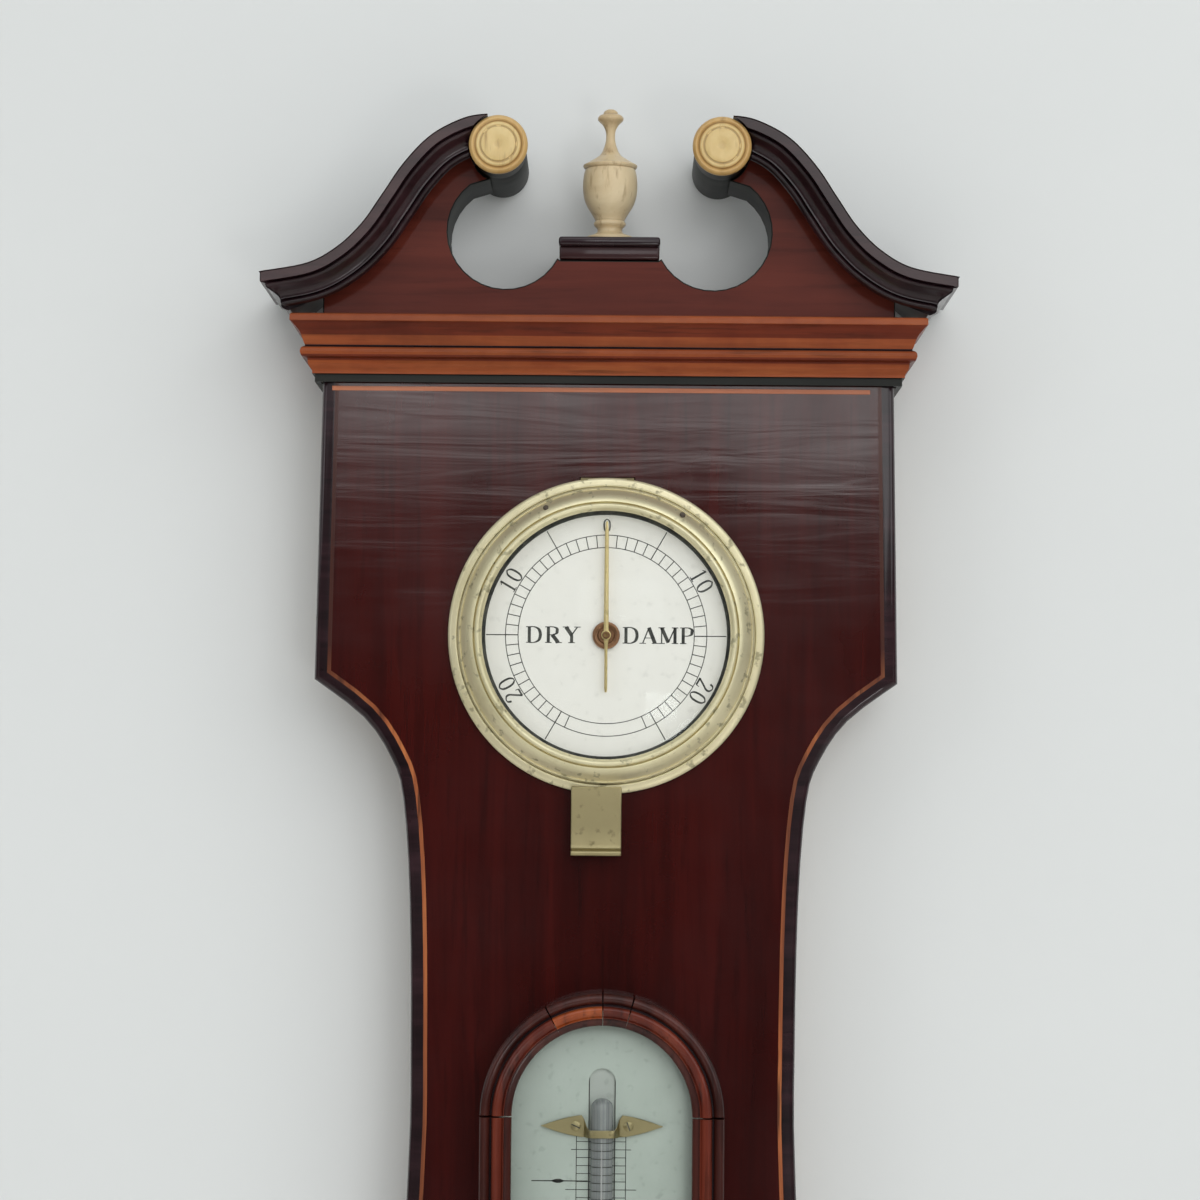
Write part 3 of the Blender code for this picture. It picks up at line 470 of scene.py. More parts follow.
def bone(name, deep, middle, pale):
    """Old ivory-coloured bone: cloudy, with brown in its grooves."""
    made = Finish(name)
    cloud = made.noise(made.at((70.0, 70.0, 24.0)), 1.0, 6.0, 0.6, 0.5)
    fine = made.noise(made.at((500.0, 500.0, 80.0)), 1.0, 3.0)
    shape = made.nodes.new("ShaderNodeNewGeometry").outputs["Pointiness"]
    colour = made.ramp(cloud, (0.3, deep), (0.5, middle), (0.7, pale))
    colour = made.mix(made.ramp(shape, (0.42, 0.75), (0.495, 0.0)), colour, tone(96, 62, 32))
    colour = made.mix(made.ramp(fine, (0.30, 0.5), (0.42, 0.0)), colour, tone(128, 94, 54))
    return made.done(
        Base_Color=colour, Roughness=made.ramp(cloud, (0.3, 0.28), (0.7, 0.42)), Subsurface_Weight=0.08,
        Subsurface_Radius=(0.002, 0.0012, 0.0007), Subsurface_Scale=0.5,
        Normal=made.bump(fine, 0.12, 0.00005))


def pane(name, tint=(0.985, 0.99, 0.985, 1.0), rough=0.02):
    """Thin old glass: it lets the view through and reflects more at a slant."""
    made = Finish(name)
    made.material.surface_render_method = "BLENDED"
    waves = made.noise(made.at((26.0, 26.0, 26.0)), 1.0, 2.0)
    dust = made.noise(made.at((300.0, 300.0, 300.0)), 1.0, 4.0, 0.6)
    made.shader.inputs["IOR"].default_value = 1.5
    clear = made.nodes.new("ShaderNodeBsdfTransparent")
    clear.inputs["Color"].default_value = tint
    shine = made.nodes.new("ShaderNodeFresnel")
    shine.inputs["IOR"].default_value = 1.45
    both = made.nodes.new("ShaderNodeMixShader")
    normal = made.bump(waves, 0.05, 0.0004)
    made.put(shine.inputs["Normal"], normal)
    lit = made.sum("SUBTRACT", 1.0, made.nodes.new("ShaderNodeLightPath").outputs["Is Shadow Ray"])
    outside = made.sum("SUBTRACT", 1.0, made.nodes.new("ShaderNodeNewGeometry").outputs["Backfacing"])
    lit = made.sum("MULTIPLY", lit, outside)
    reflects = made.sum("ADD", shine.outputs[0], made.ramp(dust, (0.62, 0.0), (0.8, 0.06)))
    made.put(both.inputs[0], made.sum("MULTIPLY", reflects, lit))
    made.put(both.inputs[1], clear.outputs[0])
    made.put(both.inputs[2], made.shader.outputs[0])
    made.put(made.nodes["Material Output"].inputs["Surface"], both.outputs[0])
    return made.done(
        Base_Color=tone(150, 156, 156), Metallic=0.9, Roughness=made.ramp(dust, (0.4, rough),
        (0.9, rough + 0.2)), Normal=normal)


def stem_glass(name):
    """A thick, cloudy thermometer stem: mostly grey, and a little of its bore shows."""
    made = Finish(name)
    made.material.surface_render_method = "BLENDED"
    cloud = made.noise(made.at((300.0, 300.0, 40.0)), 1.0, 4.0)
    streak = made.noise(made.at((1400.0, 400.0, 8.0)), 1.0, 3.0)
    return made.done(
        Base_Color=made.ramp(streak, (0.3, tone(126, 130, 130)), (0.7, tone(172, 176, 175))), Alpha=0.72,
        Roughness=made.ramp(cloud, (0.3, 0.08), (0.7, 0.18)))


def liquid(name, deep, pale):
    """A coloured liquid, or a mercury thread, seen in its tube."""
    made = Finish(name)
    cloud = made.noise(made.at((200.0, 200.0, 60.0)), 1.0, 3.0)
    return made.done(
        Base_Color=made.ramp(cloud, (0.3, deep), (0.7, pale)),
        Roughness=made.ramp(cloud, (0.3, 0.08), (0.7, 0.2)), Metallic=0.6)


def thread(name, deep, pale):
    """A dry natural fibre: silk line or straw."""
    made = Finish(name)
    strands = made.noise(made.at((1500.0, 1500.0, 300.0)), 1.0, 3.0)
    return made.done(
        Base_Color=made.ramp(strands, (0.3, deep), (0.7, pale)),
        Roughness=made.ramp(strands, (0.2, 0.7), (0.8, 0.9)), Normal=made.bump(strands, 0.4, 0.0001))


INK = ink()
BONE = bone("turned_bone", tone(182, 150, 92), tone(208, 182, 126), tone(222, 200, 146))
BONE_RIM = bone("roundel_rim", tone(160, 122, 64), tone(192, 156, 98), tone(210, 178, 122))
URN_BONE = bone("mottled_bone", tone(164, 138, 100), tone(198, 176, 138), tone(218, 200, 164))
GLASS = pane("crown_glass")
STEM_GLASS = stem_glass("stem_glass")
TUBE_GLASS = pane("tube_glass", (0.74, 0.78, 0.76, 1.0), 0.05)
BED = aged_metal(
    "tube_bed", (168, 174, 168), (138, 144, 138), 0.5, specks=0.2, brushed=(40.0, 500.0, 900.0), patina=0.7,
    metallic=0.05)
ENAMEL = liquid("white_enamel", tone(214, 216, 214), tone(236, 238, 236))
MERCURY = liquid("mercury", tone(150, 152, 156), tone(206, 208, 212))
SPIRIT = liquid("level_spirit", tone(130, 150, 60), tone(176, 190, 96))
SILK = thread("silk_line", tone(70, 52, 30), tone(122, 96, 60))
STRAW = thread("oat_straw", tone(132, 104, 54), tone(186, 156, 94))


# ---------------------------------------------------------------- the case

def outlines(node):
    """The closed (x, z) outlines of a CAD piece's flat front, the longest first."""
    thing = NODES[node]
    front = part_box(node)[0].y + 2e-5
    used = {}
    for face in thing.data.polygons:
        corners = [thing.matrix_world @ thing.data.vertices[i].co for i in face.vertices]
        if all(corner.y < front for corner in corners):
            keys = [(round(corner.x, 6), round(corner.z, 6)) for corner in corners]
            for pair in zip(keys, keys[1:] + keys[:1]):
                used[frozenset(pair)] = used.get(frozenset(pair), 0) + 1
    follows = {}
    for pair, count in used.items():
        if count == 1 and len(pair) == 2:
            first, second = pair
            follows.setdefault(first, []).append(second)
            follows.setdefault(second, []).append(first)
    loops = []
    while follows:
        start = min(follows)
        loop, point = [start], follows[start][0]
        while point != start:
            loop.append(point)
            point = next(p for p in follows[point] if p != loop[-2])
        for point in loop:
            follows.pop(point, None)
        loops.append(loop)
    return sorted(loops, key=lambda loop: max(x for x, _ in loop) - min(x for x, _ in loop), reverse=True)


def block(name, low, high, materials, body, edge=0.0006, segments=3):
    """A block with rounded edges."""
    low, high = Vector(low), Vector(high)
    shape = bmesh.new()
    bmesh.ops.create_cube(shape, size=1.0)
    bmesh.ops.scale(shape, vec=high - low, verts=shape.verts)
    bmesh.ops.translate(shape, vec=(low + high) / 2, verts=shape.verts)
    bmesh.ops.bevel(shape, geom=shape.edges[:], offset=edge, segments=segments, affect="EDGES", profile=0.5)
    return piece(name, to_mesh(name, shape), materials, body)


def run(name, section, start, stop, materials, body, slots=None):
    """A straight moulding: start and stop give each (out, height) point its place at the two ends."""
    shape = bmesh.new()
    near = [shape.verts.new(start(out, height)) for out, height in section]
    far = [shape.verts.new(stop(out, height)) for out, height in section]
    for i in range(len(section)):
        j = (i + 1) % len(section)
        face = shape.faces.new((near[i], near[j], far[j], far[i]))
        if slots:
            face.material_index = slots(
                (section[i][0] + section[j][0]) / 2, (section[i][1] + section[j][1]) / 2)
    shape.faces.new(near)
    shape.faces.new(far)
    bmesh.ops.recalc_face_normals(shape, faces=shape.faces)
    return piece(name, to_mesh(name, shape), materials, body)


def dress_case():
    outer, *holes = outlines("case_front")
    front = board(
        "case_veneered_front", outer, CASE_FRONT, CASE_HIGH.y, [EBONISED, STRINGING, MAHOGANY], "case",
        edge=0.0016, rounding=4, holes=holes, strips=((0.0034, 1), (0.0044, 2)))
    stands_for(front, "case_front")
    line = block(
        "case_inlay_line", (-0.0728, CASE_FRONT - 0.0001, 0.0092), (0.0690, CASE_FRONT + 0.001, 0.0104),
        LINE_WOOD, "case", edge=0.00005, segments=1)


# Cornice (projection, height), point for point down its face, and its mitre corner
CORNICE_SIDE = 0.0759
CORNICE = mm(
    (7.1, 28.7), (7.6, 28.4), (7.7, 27.6), (7.7, 26.8), (7.7, 26.8), (7, 26.2), (7, 26.2), (5.2, 24),
    (4.2, 21.4), (3.8, 20.5), (3.8, 20.5), (4.8, 19.9), (5.1, 18.8), (4.7, 17.7), (4.7, 17.7), (3.4, 17.3),
    (3.2, 16.8), (3.2, 16.8), (3, 15.6), (2.1, 14.2), (2.1, 13.4), (2.1, 13.4), (1.3, 13.3), (1.3, 13.3),
    (1.4, 11.3))


def dress_cornice():
    section = [*curved(CORNICE, 4), (0.0, 0.0113), (0.0, 0.0287)]
    paints = [CORNICE_WOOD, EBONISED, COVE_PAINTED_SHADE, EDGE_BLACK]

    # Material slots by place on the section. Painted shade: black (slot 1) in the groove, black (slot 3) in
    # the band under the cornice, and darker cove wood (slot 2) in the cove under the top fillet and under the
    # bead. Slot 1 also takes the hidden back face.
    def dark(out, height):
        if out < 0.0001 or 0.0201 < height < 0.0208 or height < 0.0134:
            return 3 if height < 0.0134 else 1
        return 2 if 0.0230 < height < 0.0266 or 0.0168 < height < 0.0182 else 0

    made = run(
        "cornice_front_run", section, lambda out, height: (-CORNICE_SIDE - out, SEAT - out, height),
        lambda out, height: (CORNICE_SIDE + out, SEAT - out, height), paints, "case", dark)
    stands_for(made, "cornice_front")
    for side, sign in (("left", -1), ("right", 1)):
        made = run(
            "cornice_side_" + side, section, lambda out, height: (sign * (CORNICE_SIDE + out), RETURN_BACK,
            height), lambda out, height: (sign * (CORNICE_SIDE + out), SEAT - out, height), paints, "case",
            dark)
        stands_for(made, "cornice_return_" + side)


# Pediment: the neck's centre line, its section as (share of the half width, rise), and the bosses
SWAN_PATH = mm(
    (31.5, 75.7), (36.7, 74.8), (44, 70.9), (50.3, 64.2), (55.5, 56.4), (61.1, 48.3), (68.2, 41.4),
    (77.4, 36.4), (92, 33.7))
SWAN_HALF = 0.0046
SWAN_SECTION = [
    (-1.0, 0.0), (-1.0, 0.0), (1.0, 0.0), (1.0, 0.0), (1.0, 0.0139), (0.97, 0.0145), (0.93, 0.0147),
    (0.93, 0.0147), (0.42, 0.0147), (0.42, 0.0147), (0.38, 0.0126), (0.38, 0.0126), (0.30, 0.0134),
    (0.18, 0.0133), (0.04, 0.0124), (-0.17, 0.0109), (-0.38, 0.0100), (-0.58, 0.0099), (-0.58, 0.0099),
    (-0.62, 0.0087), (-0.62, 0.0087), (-0.68, 0.0094), (-0.80, 0.0097), (-0.92, 0.0092), (-1.0, 0.0080),
    (-1.0, 0.0080)]


BOSS = (0.0292, 0.0725, 0.0080)


def height_on(path, x):
    """The height of a line that runs outwards, at a distance from the centre."""
    for (x0, z0), (x1, z1) in zip(path, path[1:]):
        if x <= x1:
            return z0 + (z1 - z0) * (x - x0) / (x1 - x0)
    return path[-1][1]


def neck_limit(x, z, rise, boss_x):
    """Holds the neck within its mitre plane, and outside the roundel at its upper end."""
    away = Vector((x - boss_x, z - BOSS[1]))
    if away.length < BOSS[2]:
        away = away.normalized() * BOSS[2]
    return (max(-CORNICE_SIDE - rise, min(CORNICE_SIDE + rise, boss_x + away.x)), BOSS[1] + away.y)


def dress_pediment():
    (outer, *_) = outlines("pediment_board")
    made = board(
        "pediment_veneered_board", outer, CASE_FRONT, -0.010, [EDGE_BLACK, PEDIMENT_WOOD], "case",
        edge=0.0003, strips=((0.00035, 1),))
    stands_for(made, "pediment_board")
    path = curved(SWAN_PATH, 8)
    section = [(a * SWAN_HALF, rise) for a, rise in curved(SWAN_SECTION, 2)[1:]]
    wood = [NECK_WOOD, NECK_EDGE]
    slots = [
        1 if 0.0146 < (section[i][1] + section[(i + 1) % len(section)][1]) / 2 else 0
        for i in range(len(section))]
    for side, sign in (("left", -1), ("right", 1)):
        made = swept(
            "swan_neck_moulding_" + side, [(sign * x, z) for x, z in path], [(sign * a, rise) for a,
            rise in section], wood, "case", slots=slots, limit=lambda x, z,
            rise: neck_limit(x, z, rise, sign * BOSS[0]))
        stands_for(made, "swan_neck_" + side)
        along = [(rise, a) for a, rise in section]
        made = run(
            "pediment_side_" + side, along, lambda rise, a: (sign * (CORNICE_SIDE + rise + 0.0002),
            RETURN_BACK, height_on(path, CORNICE_SIDE + rise) + a), lambda rise,
            a: (sign * (CORNICE_SIDE + rise + 0.0002), SEAT - rise,
            height_on(path, CORNICE_SIDE + rise) + a), wood, "case", lambda rise,
            a: 1 if rise > 0.0146 else 0)
        stands_for(made, "pediment_return_" + side)
        low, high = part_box("scroll_boss_" + side)
        centre = (low + high) / 2
        deep = high.y - low.y
        made = lathe(
            "scroll_boss_turned_" + side, [(0.0, deep), (0.0060, deep), (0.0066, deep - 0.0002),
            (0.0070, deep - 0.0008), (0.0070, deep - 0.0100), (0.0069, deep - 0.0104),
            (0.0070, deep - 0.0108), (0.0070, 0.0006), (0.0065, 0.0), (0.0, 0.0)],
            (centre.x, high.y, centre.z), EDGE_BLACK, "case", steps=72)
        stands_for(made, "scroll_boss_" + side)
        rim = mm(
            (0, 2.3), (0.7, 2.3), (1.1, 2.4), (1.5, 2.6), (4.1, 2.6), (4.4, 2.5), (4.6, 2.1), (4.9, 2.1),
            (5.1, 2.3), (5.5, 2.3), (5.8, 2.1), (6, 1.7), (6.3, 1.8), (6.6, 2.1), (7, 2.1), (7.5, 1.7),
            (7.7, 1.2), (7.7, 0.3), (7.5, 0), (0, 0))
        low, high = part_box("roundel_" + side)
        made = lathe(
            "bone_roundel_" + side, rim, (centre.x, high.y, centre.z), [BONE, BONE_RIM], "case", steps=80,
            split=lambda radius, rise: 1 if radius > 0.0058 else 0)
        stands_for(made, "roundel_" + side)


def dress_finial():
    low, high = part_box("plinth_cap")
    made = block(
        "plinth_cap_body", (low.x + 0.0002, low.y + 0.0015, low.z), (high.x - 0.0002, high.y - 0.0015,
        high.z - 0.0024), NECK_EDGE, "case")
    slab = block("plinth_cap_slab", (low.x, low.y, high.z - 0.0025), tuple(high), EBONISED, "case", 0.0008)
    stands_for(slab, "plinth_cap")
    low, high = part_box("urn_finial")
    profile = mm(
        (0, 36), (1, 35.9), (1.8, 35.3), (2, 34.6), (2, 34.6), (2.9, 34.3), (3.4, 33.7), (3.4, 33.1),
        (2.9, 32.5), (2.9, 32.5), (2.1, 31.7), (1.4, 30.3), (1.2, 28.7), (1.4, 26.8), (2.2, 24.5),
        (3, 23.4), (3, 23.4), (3.4, 23.1), (5, 22.1), (6.6, 21.1), (6.6, 21.1), (7.2, 20.8), (7.1, 20.2),
        (6.6, 19.8), (6.6, 19.8), (6.9, 19), (7.2, 17.2), (7.3, 14.8), (7, 12.2), (6.2, 9.9), (5.1, 8.1),
        (4.2, 6.6), (3.9, 5.8), (3.9, 5.8), (4.2, 5.4), (4.3, 4.8), (3.9, 4.3), (3.9, 4.3), (3.4, 3.8),
        (3.3, 3.1), (3.7, 2.5), (4.8, 2), (6, 1.6), (6, 1.6), (6.4, 1.3), (6.5, 0.8), (6.5, 0), (6.5, 0),
        (0, 0))
    made = lathe(
        "turned_urn", curved(profile, 3), ((low.x + high.x) / 2, (low.y + high.y) / 2, low.z), URN_BONE,
        "case", upright=True, steps=72, smooth=40)
    stands_for(made, "urn_finial")


# ---------------------------------------------------------------- engraving

# Capitals and figures, 100 units high: width, strokes as (weight, points), and where serif bars sit.
# STEM is the upright at the left of many letters.
ENDS = [(14, 0), (14, 100)]
STEM = (1, ENDS)
GLYPHS = {
    "A": (80, [(0.4, [(8, 0), (40, 100)]), (1.2, [(40, 100), (72, 0)]), (0.4, [(20, 34), (60, 34)])],
        [(8, 0), (72, 0)]),
    "C": (74, [(1, [(66, 74), (56, 93), (38, 100), (16, 82), (10, 50), (16, 18), (38, 0), (56, 7),
        (66, 26)])], []),
    "D": (80, [STEM, (1, [(14, 100), (40, 100), (64, 84), (72, 50), (64, 16), (40, 0), (14, 0)])], ENDS),
    "E": (68, [STEM, (1, [(14, 100), (58, 100)]), (1, [(14, 52), (48, 52)]), (1, [(14, 0), (60, 0)]), (0.4,
        [(58, 100), (58, 80)]), (0.4, [(60, 0), (60, 22)])], ENDS),
    "F": (64, [STEM, (1, [(14, 100), (58, 100)]), (1, [(14, 52), (48, 52)]), (0.4, [(58, 100), (58, 80)])],
        ENDS),
    "G": (80, [(1, [(66, 74), (56, 93), (38, 100), (16, 82), (10, 50), (16, 18), (38, 0), (56, 3),
        (66, 12)]), (1, [(66, 4), (66, 42)])], [(64, 42)]),
    "H": (80, [STEM, (1, [(64, 0), (64, 100)]), (1, [(14, 50), (64, 50)])], [(14, 0), (14, 100), (64, 0),
        (64, 100)]),
    "I": (32, [(1, [(16, 0), (16, 100)])], [(16, 0), (16, 100)]),
    "M": (98, [(0.4, [(13, 0), (13, 100)]), (1.1, [(13, 100), (48, 5)]), (0.4, [(48, 5), (83, 100)]), (1,
        [(83, 100), (83, 0)])], [(13, 0), (83, 0), (13, 100), (83, 100)]),
    "N": (86, [(0.4, [(13, 0), (13, 100)]), (1.2, [(13, 100), (70, 0)]), (0.4, [(70, 0), (70, 100)])],
        [(13, 0), (13, 100), (70, 100)]),
    "O": (84, [(1, [(42, 100), (20, 88), (10, 50), (20, 12), (42, 0), (64, 12), (74, 50), (64, 88),
        (42, 100)])], []),
    "P": (68, [STEM, (1, [(14, 100), (40, 100), (58, 90), (60, 74), (56, 57), (38, 48), (14, 48)])], ENDS),
    "R": (78, [STEM, (1, [(14, 100), (40, 100), (58, 90), (60, 74), (56, 59), (38, 50), (14, 50)]), (1.2,
        [(34, 50), (66, 0)])], [(14, 0), (14, 100), (68, 0)]),
    "S": (64, [(1.3, [(54, 80), (46, 95), (30, 100), (13, 90), (12, 72), (30, 56), (46, 44), (54, 26),
        (46, 7), (28, 0), (14, 6), (8, 22)])], []),
    "T": (72, [(1, [(36, 0), (36, 100)]), (1, [(6, 100), (66, 100)]), (0.4, [(6, 100), (6, 80)]), (0.4,
        [(66, 100), (66, 80)])], [(36, 0)]),
    "U": (80, [(1, [(15, 100), (15, 30), (24, 6), (40, 0), (56, 6), (65, 30)]), (0.4, [(65, 30),
        (65, 100)])], [(15, 100), (65, 100)]),
    "V": (78, [(1.2, [(8, 100), (40, 0)]), (0.4, [(40, 0), (70, 100)])], [(8, 100), (70, 100)]),
    "Y": (76, [(1.2, [(8, 100), (38, 48)]), (0.4, [(38, 48), (68, 100)]), (1, [(38, 50), (38, 0)])],
        [(8, 100), (68, 100), (38, 0)]),
    "0": (64, [(1, [(32, 100), (14, 84), (9, 50), (14, 16), (32, 0), (50, 16), (55, 50), (50, 84),
        (32, 100)])], []),
    "1": (46, [(1, [(26, 0), (26, 100)]), (0.4, [(26, 100), (10, 84)])], [(26, 0)]),
    "2": (62, [(1, [(10, 76), (16, 94), (32, 100), (50, 88), (50, 68), (34, 42), (10, 3)]), (2, [(8, 4),
        (54, 4)]), (0.4, [(54, 4), (56, 24)])], []),
    "3": (62, [(1, [(12, 82), (26, 100), (46, 90), (46, 66), (26, 55)]), (1, [(26, 55), (50, 46), (54, 22),
        (38, 0), (18, 2), (8, 20)])], []),
    "4": (64, [(1, [(42, 0), (42, 100)]), (0.4, [(42, 100), (6, 30)]), (1, [(6, 30), (58, 30)])],
        [(42, 0)]),
    "5": (62, [(0.8, [(16, 100), (14, 56)]), (2, [(16, 96), (50, 96)]), (1, [(14, 56), (34, 62), (52, 48),
        (52, 18), (34, 0), (8, 10)])], []),
    "6": (62, [(1, [(50, 92), (32, 100), (14, 78), (9, 42), (14, 12), (32, 0), (52, 14), (52, 40), (34, 54),
        (12, 40)])], []),
    "7": (60, [(2, [(8, 96), (54, 96)]), (1, [(54, 96), (34, 50), (26, 0)])], []),
    "8": (62, [(1, [(31, 100), (15, 90), (15, 68), (31, 56), (47, 68), (47, 90), (31, 100)]), (1, [(31, 56),
        (9, 42), (9, 12), (31, 0), (53, 12), (53, 42), (31, 56)])], []),
    "9": (62, [(1, [(12, 8), (30, 0), (48, 22), (53, 58), (48, 88), (30, 100), (10, 86), (10, 60), (28, 46),
        (50, 60)])], []),
    " ": (50, [], []),
}
THIN, THICK = 0.055, 0.20
GLYPHS = {
    letter: (width / 100, [(weight, [(x / 100, z / 100) for x, z in points]) for weight, points in strokes],
    [(x / 100, z / 100) for x, z in serifs]) for letter, (width, strokes, serifs) in GLYPHS.items()}


def engraved(name, strokes, front, body, material=None, around=(0.0, 0.0)):
    """Wax-filled lines just proud of a plate: each stroke is (points, widths), drawn about a centre."""
    shape = bmesh.new()
    for points, widths in strokes:
        sides = []
        for i, (x, z) in enumerate(points):
            before, after = Vector(points[max(i - 1, 0)]), Vector(points[min(i + 1, len(points) - 1)])
            if points[0] == points[-1] and i in (0, len(points) - 1):
                before, after = Vector(points[-2]), Vector(points[1])
            along = (after - before).normalized()
            half = (widths[i] if isinstance(widths, list) else widths) / 2
            sides.append(
                [shape.verts.new((around[0] + x - along.y * half * turn, front - 0.00003,
                around[1] + z + along.x * half * turn)) for turn in (-1, 1)])
        for (a, b), (c, d) in zip(sides, sides[1:]):
            shape.faces.new((a, b, d, c))
    for face in shape.faces:
        face.normal_update()
        if face.normal.y > 0:
            face.normal_flip()
    return piece(name, to_mesh(name, shape), material or INK, body, None)


def lettering(text, height, place, lean=0.0, spacing=0.10, weight_of=1.0, stretch=1.0):
    """Strokes for a line of serif capitals, centred on a place and turned clockwise by lean degrees."""
    total = sum(GLYPHS[letter][0] + spacing for letter in text) - spacing
    turn = math.radians(-lean)
    made, start = [], -total / 2

    def put(x, z):
        x, z = (start + x) * height * stretch, (z - 0.5) * height
        return (
            place[0] + x * math.cos(turn) - z * math.sin(turn),
            place[1] + x * math.sin(turn) + z * math.cos(turn))

    for letter in text:
        width, strokes, serifs = GLYPHS[letter]
        for weight, points in strokes:
            line = curved(points, 6) if len(points) > 2 else points
            widths = []
            for i in range(len(line)):
                along = (Vector(line[min(i + 1, len(line) - 1)]) - Vector(line[max(i - 1, 0)])).normalized()
                upright = abs(along.y) ** 1.6 if len(points) > 2 else (1.0 if abs(along.y) > 0.3 else 0.0)
                widths.append(height * max(0.045, (THIN + (THICK * weight_of - THIN) * upright) * weight))
            made.append(([put(x, z) for x, z in line], widths))
        for x, z in serifs:
            made.append(([put(x - 0.17, z), put(x + 0.17, z)], height * 0.055))
        start += width + spacing
    return made


def around_dial(text, height, radius, bearing):
    """Letters set round a circle, their feet towards the centre; the bearing is clockwise from the top."""
    widths = [GLYPHS[letter][0] + 0.14 for letter in text]
    angle = bearing - math.degrees(sum(widths) * height / radius) / 2
    made = []
    for letter, width in zip(text, widths):
        share = math.degrees(width * height / radius)
        middle = math.radians(angle + share / 2)
        made += lettering(
            letter, height, (radius * math.sin(middle), radius * math.cos(middle)), math.degrees(middle))
        angle += share
    return made


def spoke(bearing, inner, outer, width):
    a = math.radians(bearing)
    return ([(inner * math.sin(a), inner * math.cos(a)), (outer * math.sin(a), outer * math.cos(a))], width)


def ring_line(radius, start, stop, width, count=120):
    points = [
        (radius * math.sin(math.radians(start + (stop - start) * i / count)),
        radius * math.cos(math.radians(start + (stop - start) * i / count))) for i in range(count + 1)]
    return (points, width)


# ---------------------------------------------------------------- the instruments

def bezel_profile(outer, sight):
    """(radius, rise) round a moulded bezel: flange, groove, bead, cavetto and inner bead, and its rebate."""
    width = outer - sight
    front = [
        (0.0, 0.0), (0.0, 0.0013), (0.03, 0.0017), (0.10, 0.0020), (0.24, 0.0021), (0.26, 0.0019),
        (0.26, 0.0019), (0.27, 0.0012), (0.27, 0.0012), (0.285, 0.0012), (0.285, 0.0012), (0.29, 0.0030),
        (0.31, 0.0040), (0.34, 0.0043), (0.34, 0.0043), (0.36, 0.0041), (0.45, 0.0050), (0.55, 0.0060),
        (0.65, 0.0067), (0.74, 0.0070), (0.74, 0.0070), (0.76, 0.0066), (0.78, 0.0064), (0.78, 0.0064),
        (0.79, 0.0070), (0.84, 0.0074), (0.92, 0.0073), (0.97, 0.0066), (1.0, 0.0056), (1.0, 0.0054),
        (1.0, 0.0054)]
    profile = [(outer - width * share, rise) for share, rise in curved(front, 3)]
    rebate = sight + 0.0020
    return profile + [(rebate, 0.0050), (rebate, 0.0), (outer, 0.0)]


def crown_glass(name, radius, sight, crown, place, body):
    edge = sight - 0.0006
    outside = [(edge * i / 16, 0.0048 + crown * (1 - (i / 16) ** 2)) for i in range(17)]
    inside = [(x, z - 0.0012) for x, z in reversed(outside)]
    return lathe(
        name, [*outside, (radius, 0.0046), (radius, 0.0036), *inside], place, GLASS, body, steps=128)


def screw(name, place, radius, body, slot_turn, material=None):
    """A slotted, slightly domed screw head that faces forward, or back where radius is negative."""
    size, way = abs(radius), math.copysign(1.0, radius)
    shape = bmesh.new()
    rings = [
        [shape.verts.new((r * math.cos(a), -way * h,
        r * math.sin(a))) for a in [2 * math.pi * i / 24 for i in range(24)]] for r, h in ((size, 0.0),
        (size * 0.96, size * 0.16), (size * 0.7, size * 0.30), (size * 0.3, size * 0.36))]
    for upper, lower in zip(rings, rings[1:]):
        for i in range(24):
            shape.faces.new((upper[i], upper[(i + 1) % 24], lower[(i + 1) % 24], lower[i]))
    shape.faces.new(rings[-1])
    shape.faces.new(rings[0])
    long, thick = size * 0.92, size * 0.11
    bar = [
        shape.verts.new((x, -way * size * 0.375, z)) for x, z in ((-long, -thick), (long, -thick),
        (long, thick), (-long, thick))]
    shape.faces.new(bar).material_index = 1
    bmesh.ops.recalc_face_normals(shape, faces=shape.faces)
    shape.transform(Matrix.Translation(place) @ Matrix.Rotation(math.radians(slot_turn), 4, "Y"))
    made = piece(name, to_mesh(name, shape), [material or FITTING_BRASS, INK], body)
    return made


# Radii of the hygrometer's scale: its two circles, its long divisions and its figures
HYGRO_INNER, HYGRO_OUTER, HYGRO_LONG, HYGRO_FIGURES = 0.0231, 0.0264, 0.0315, 0.0289


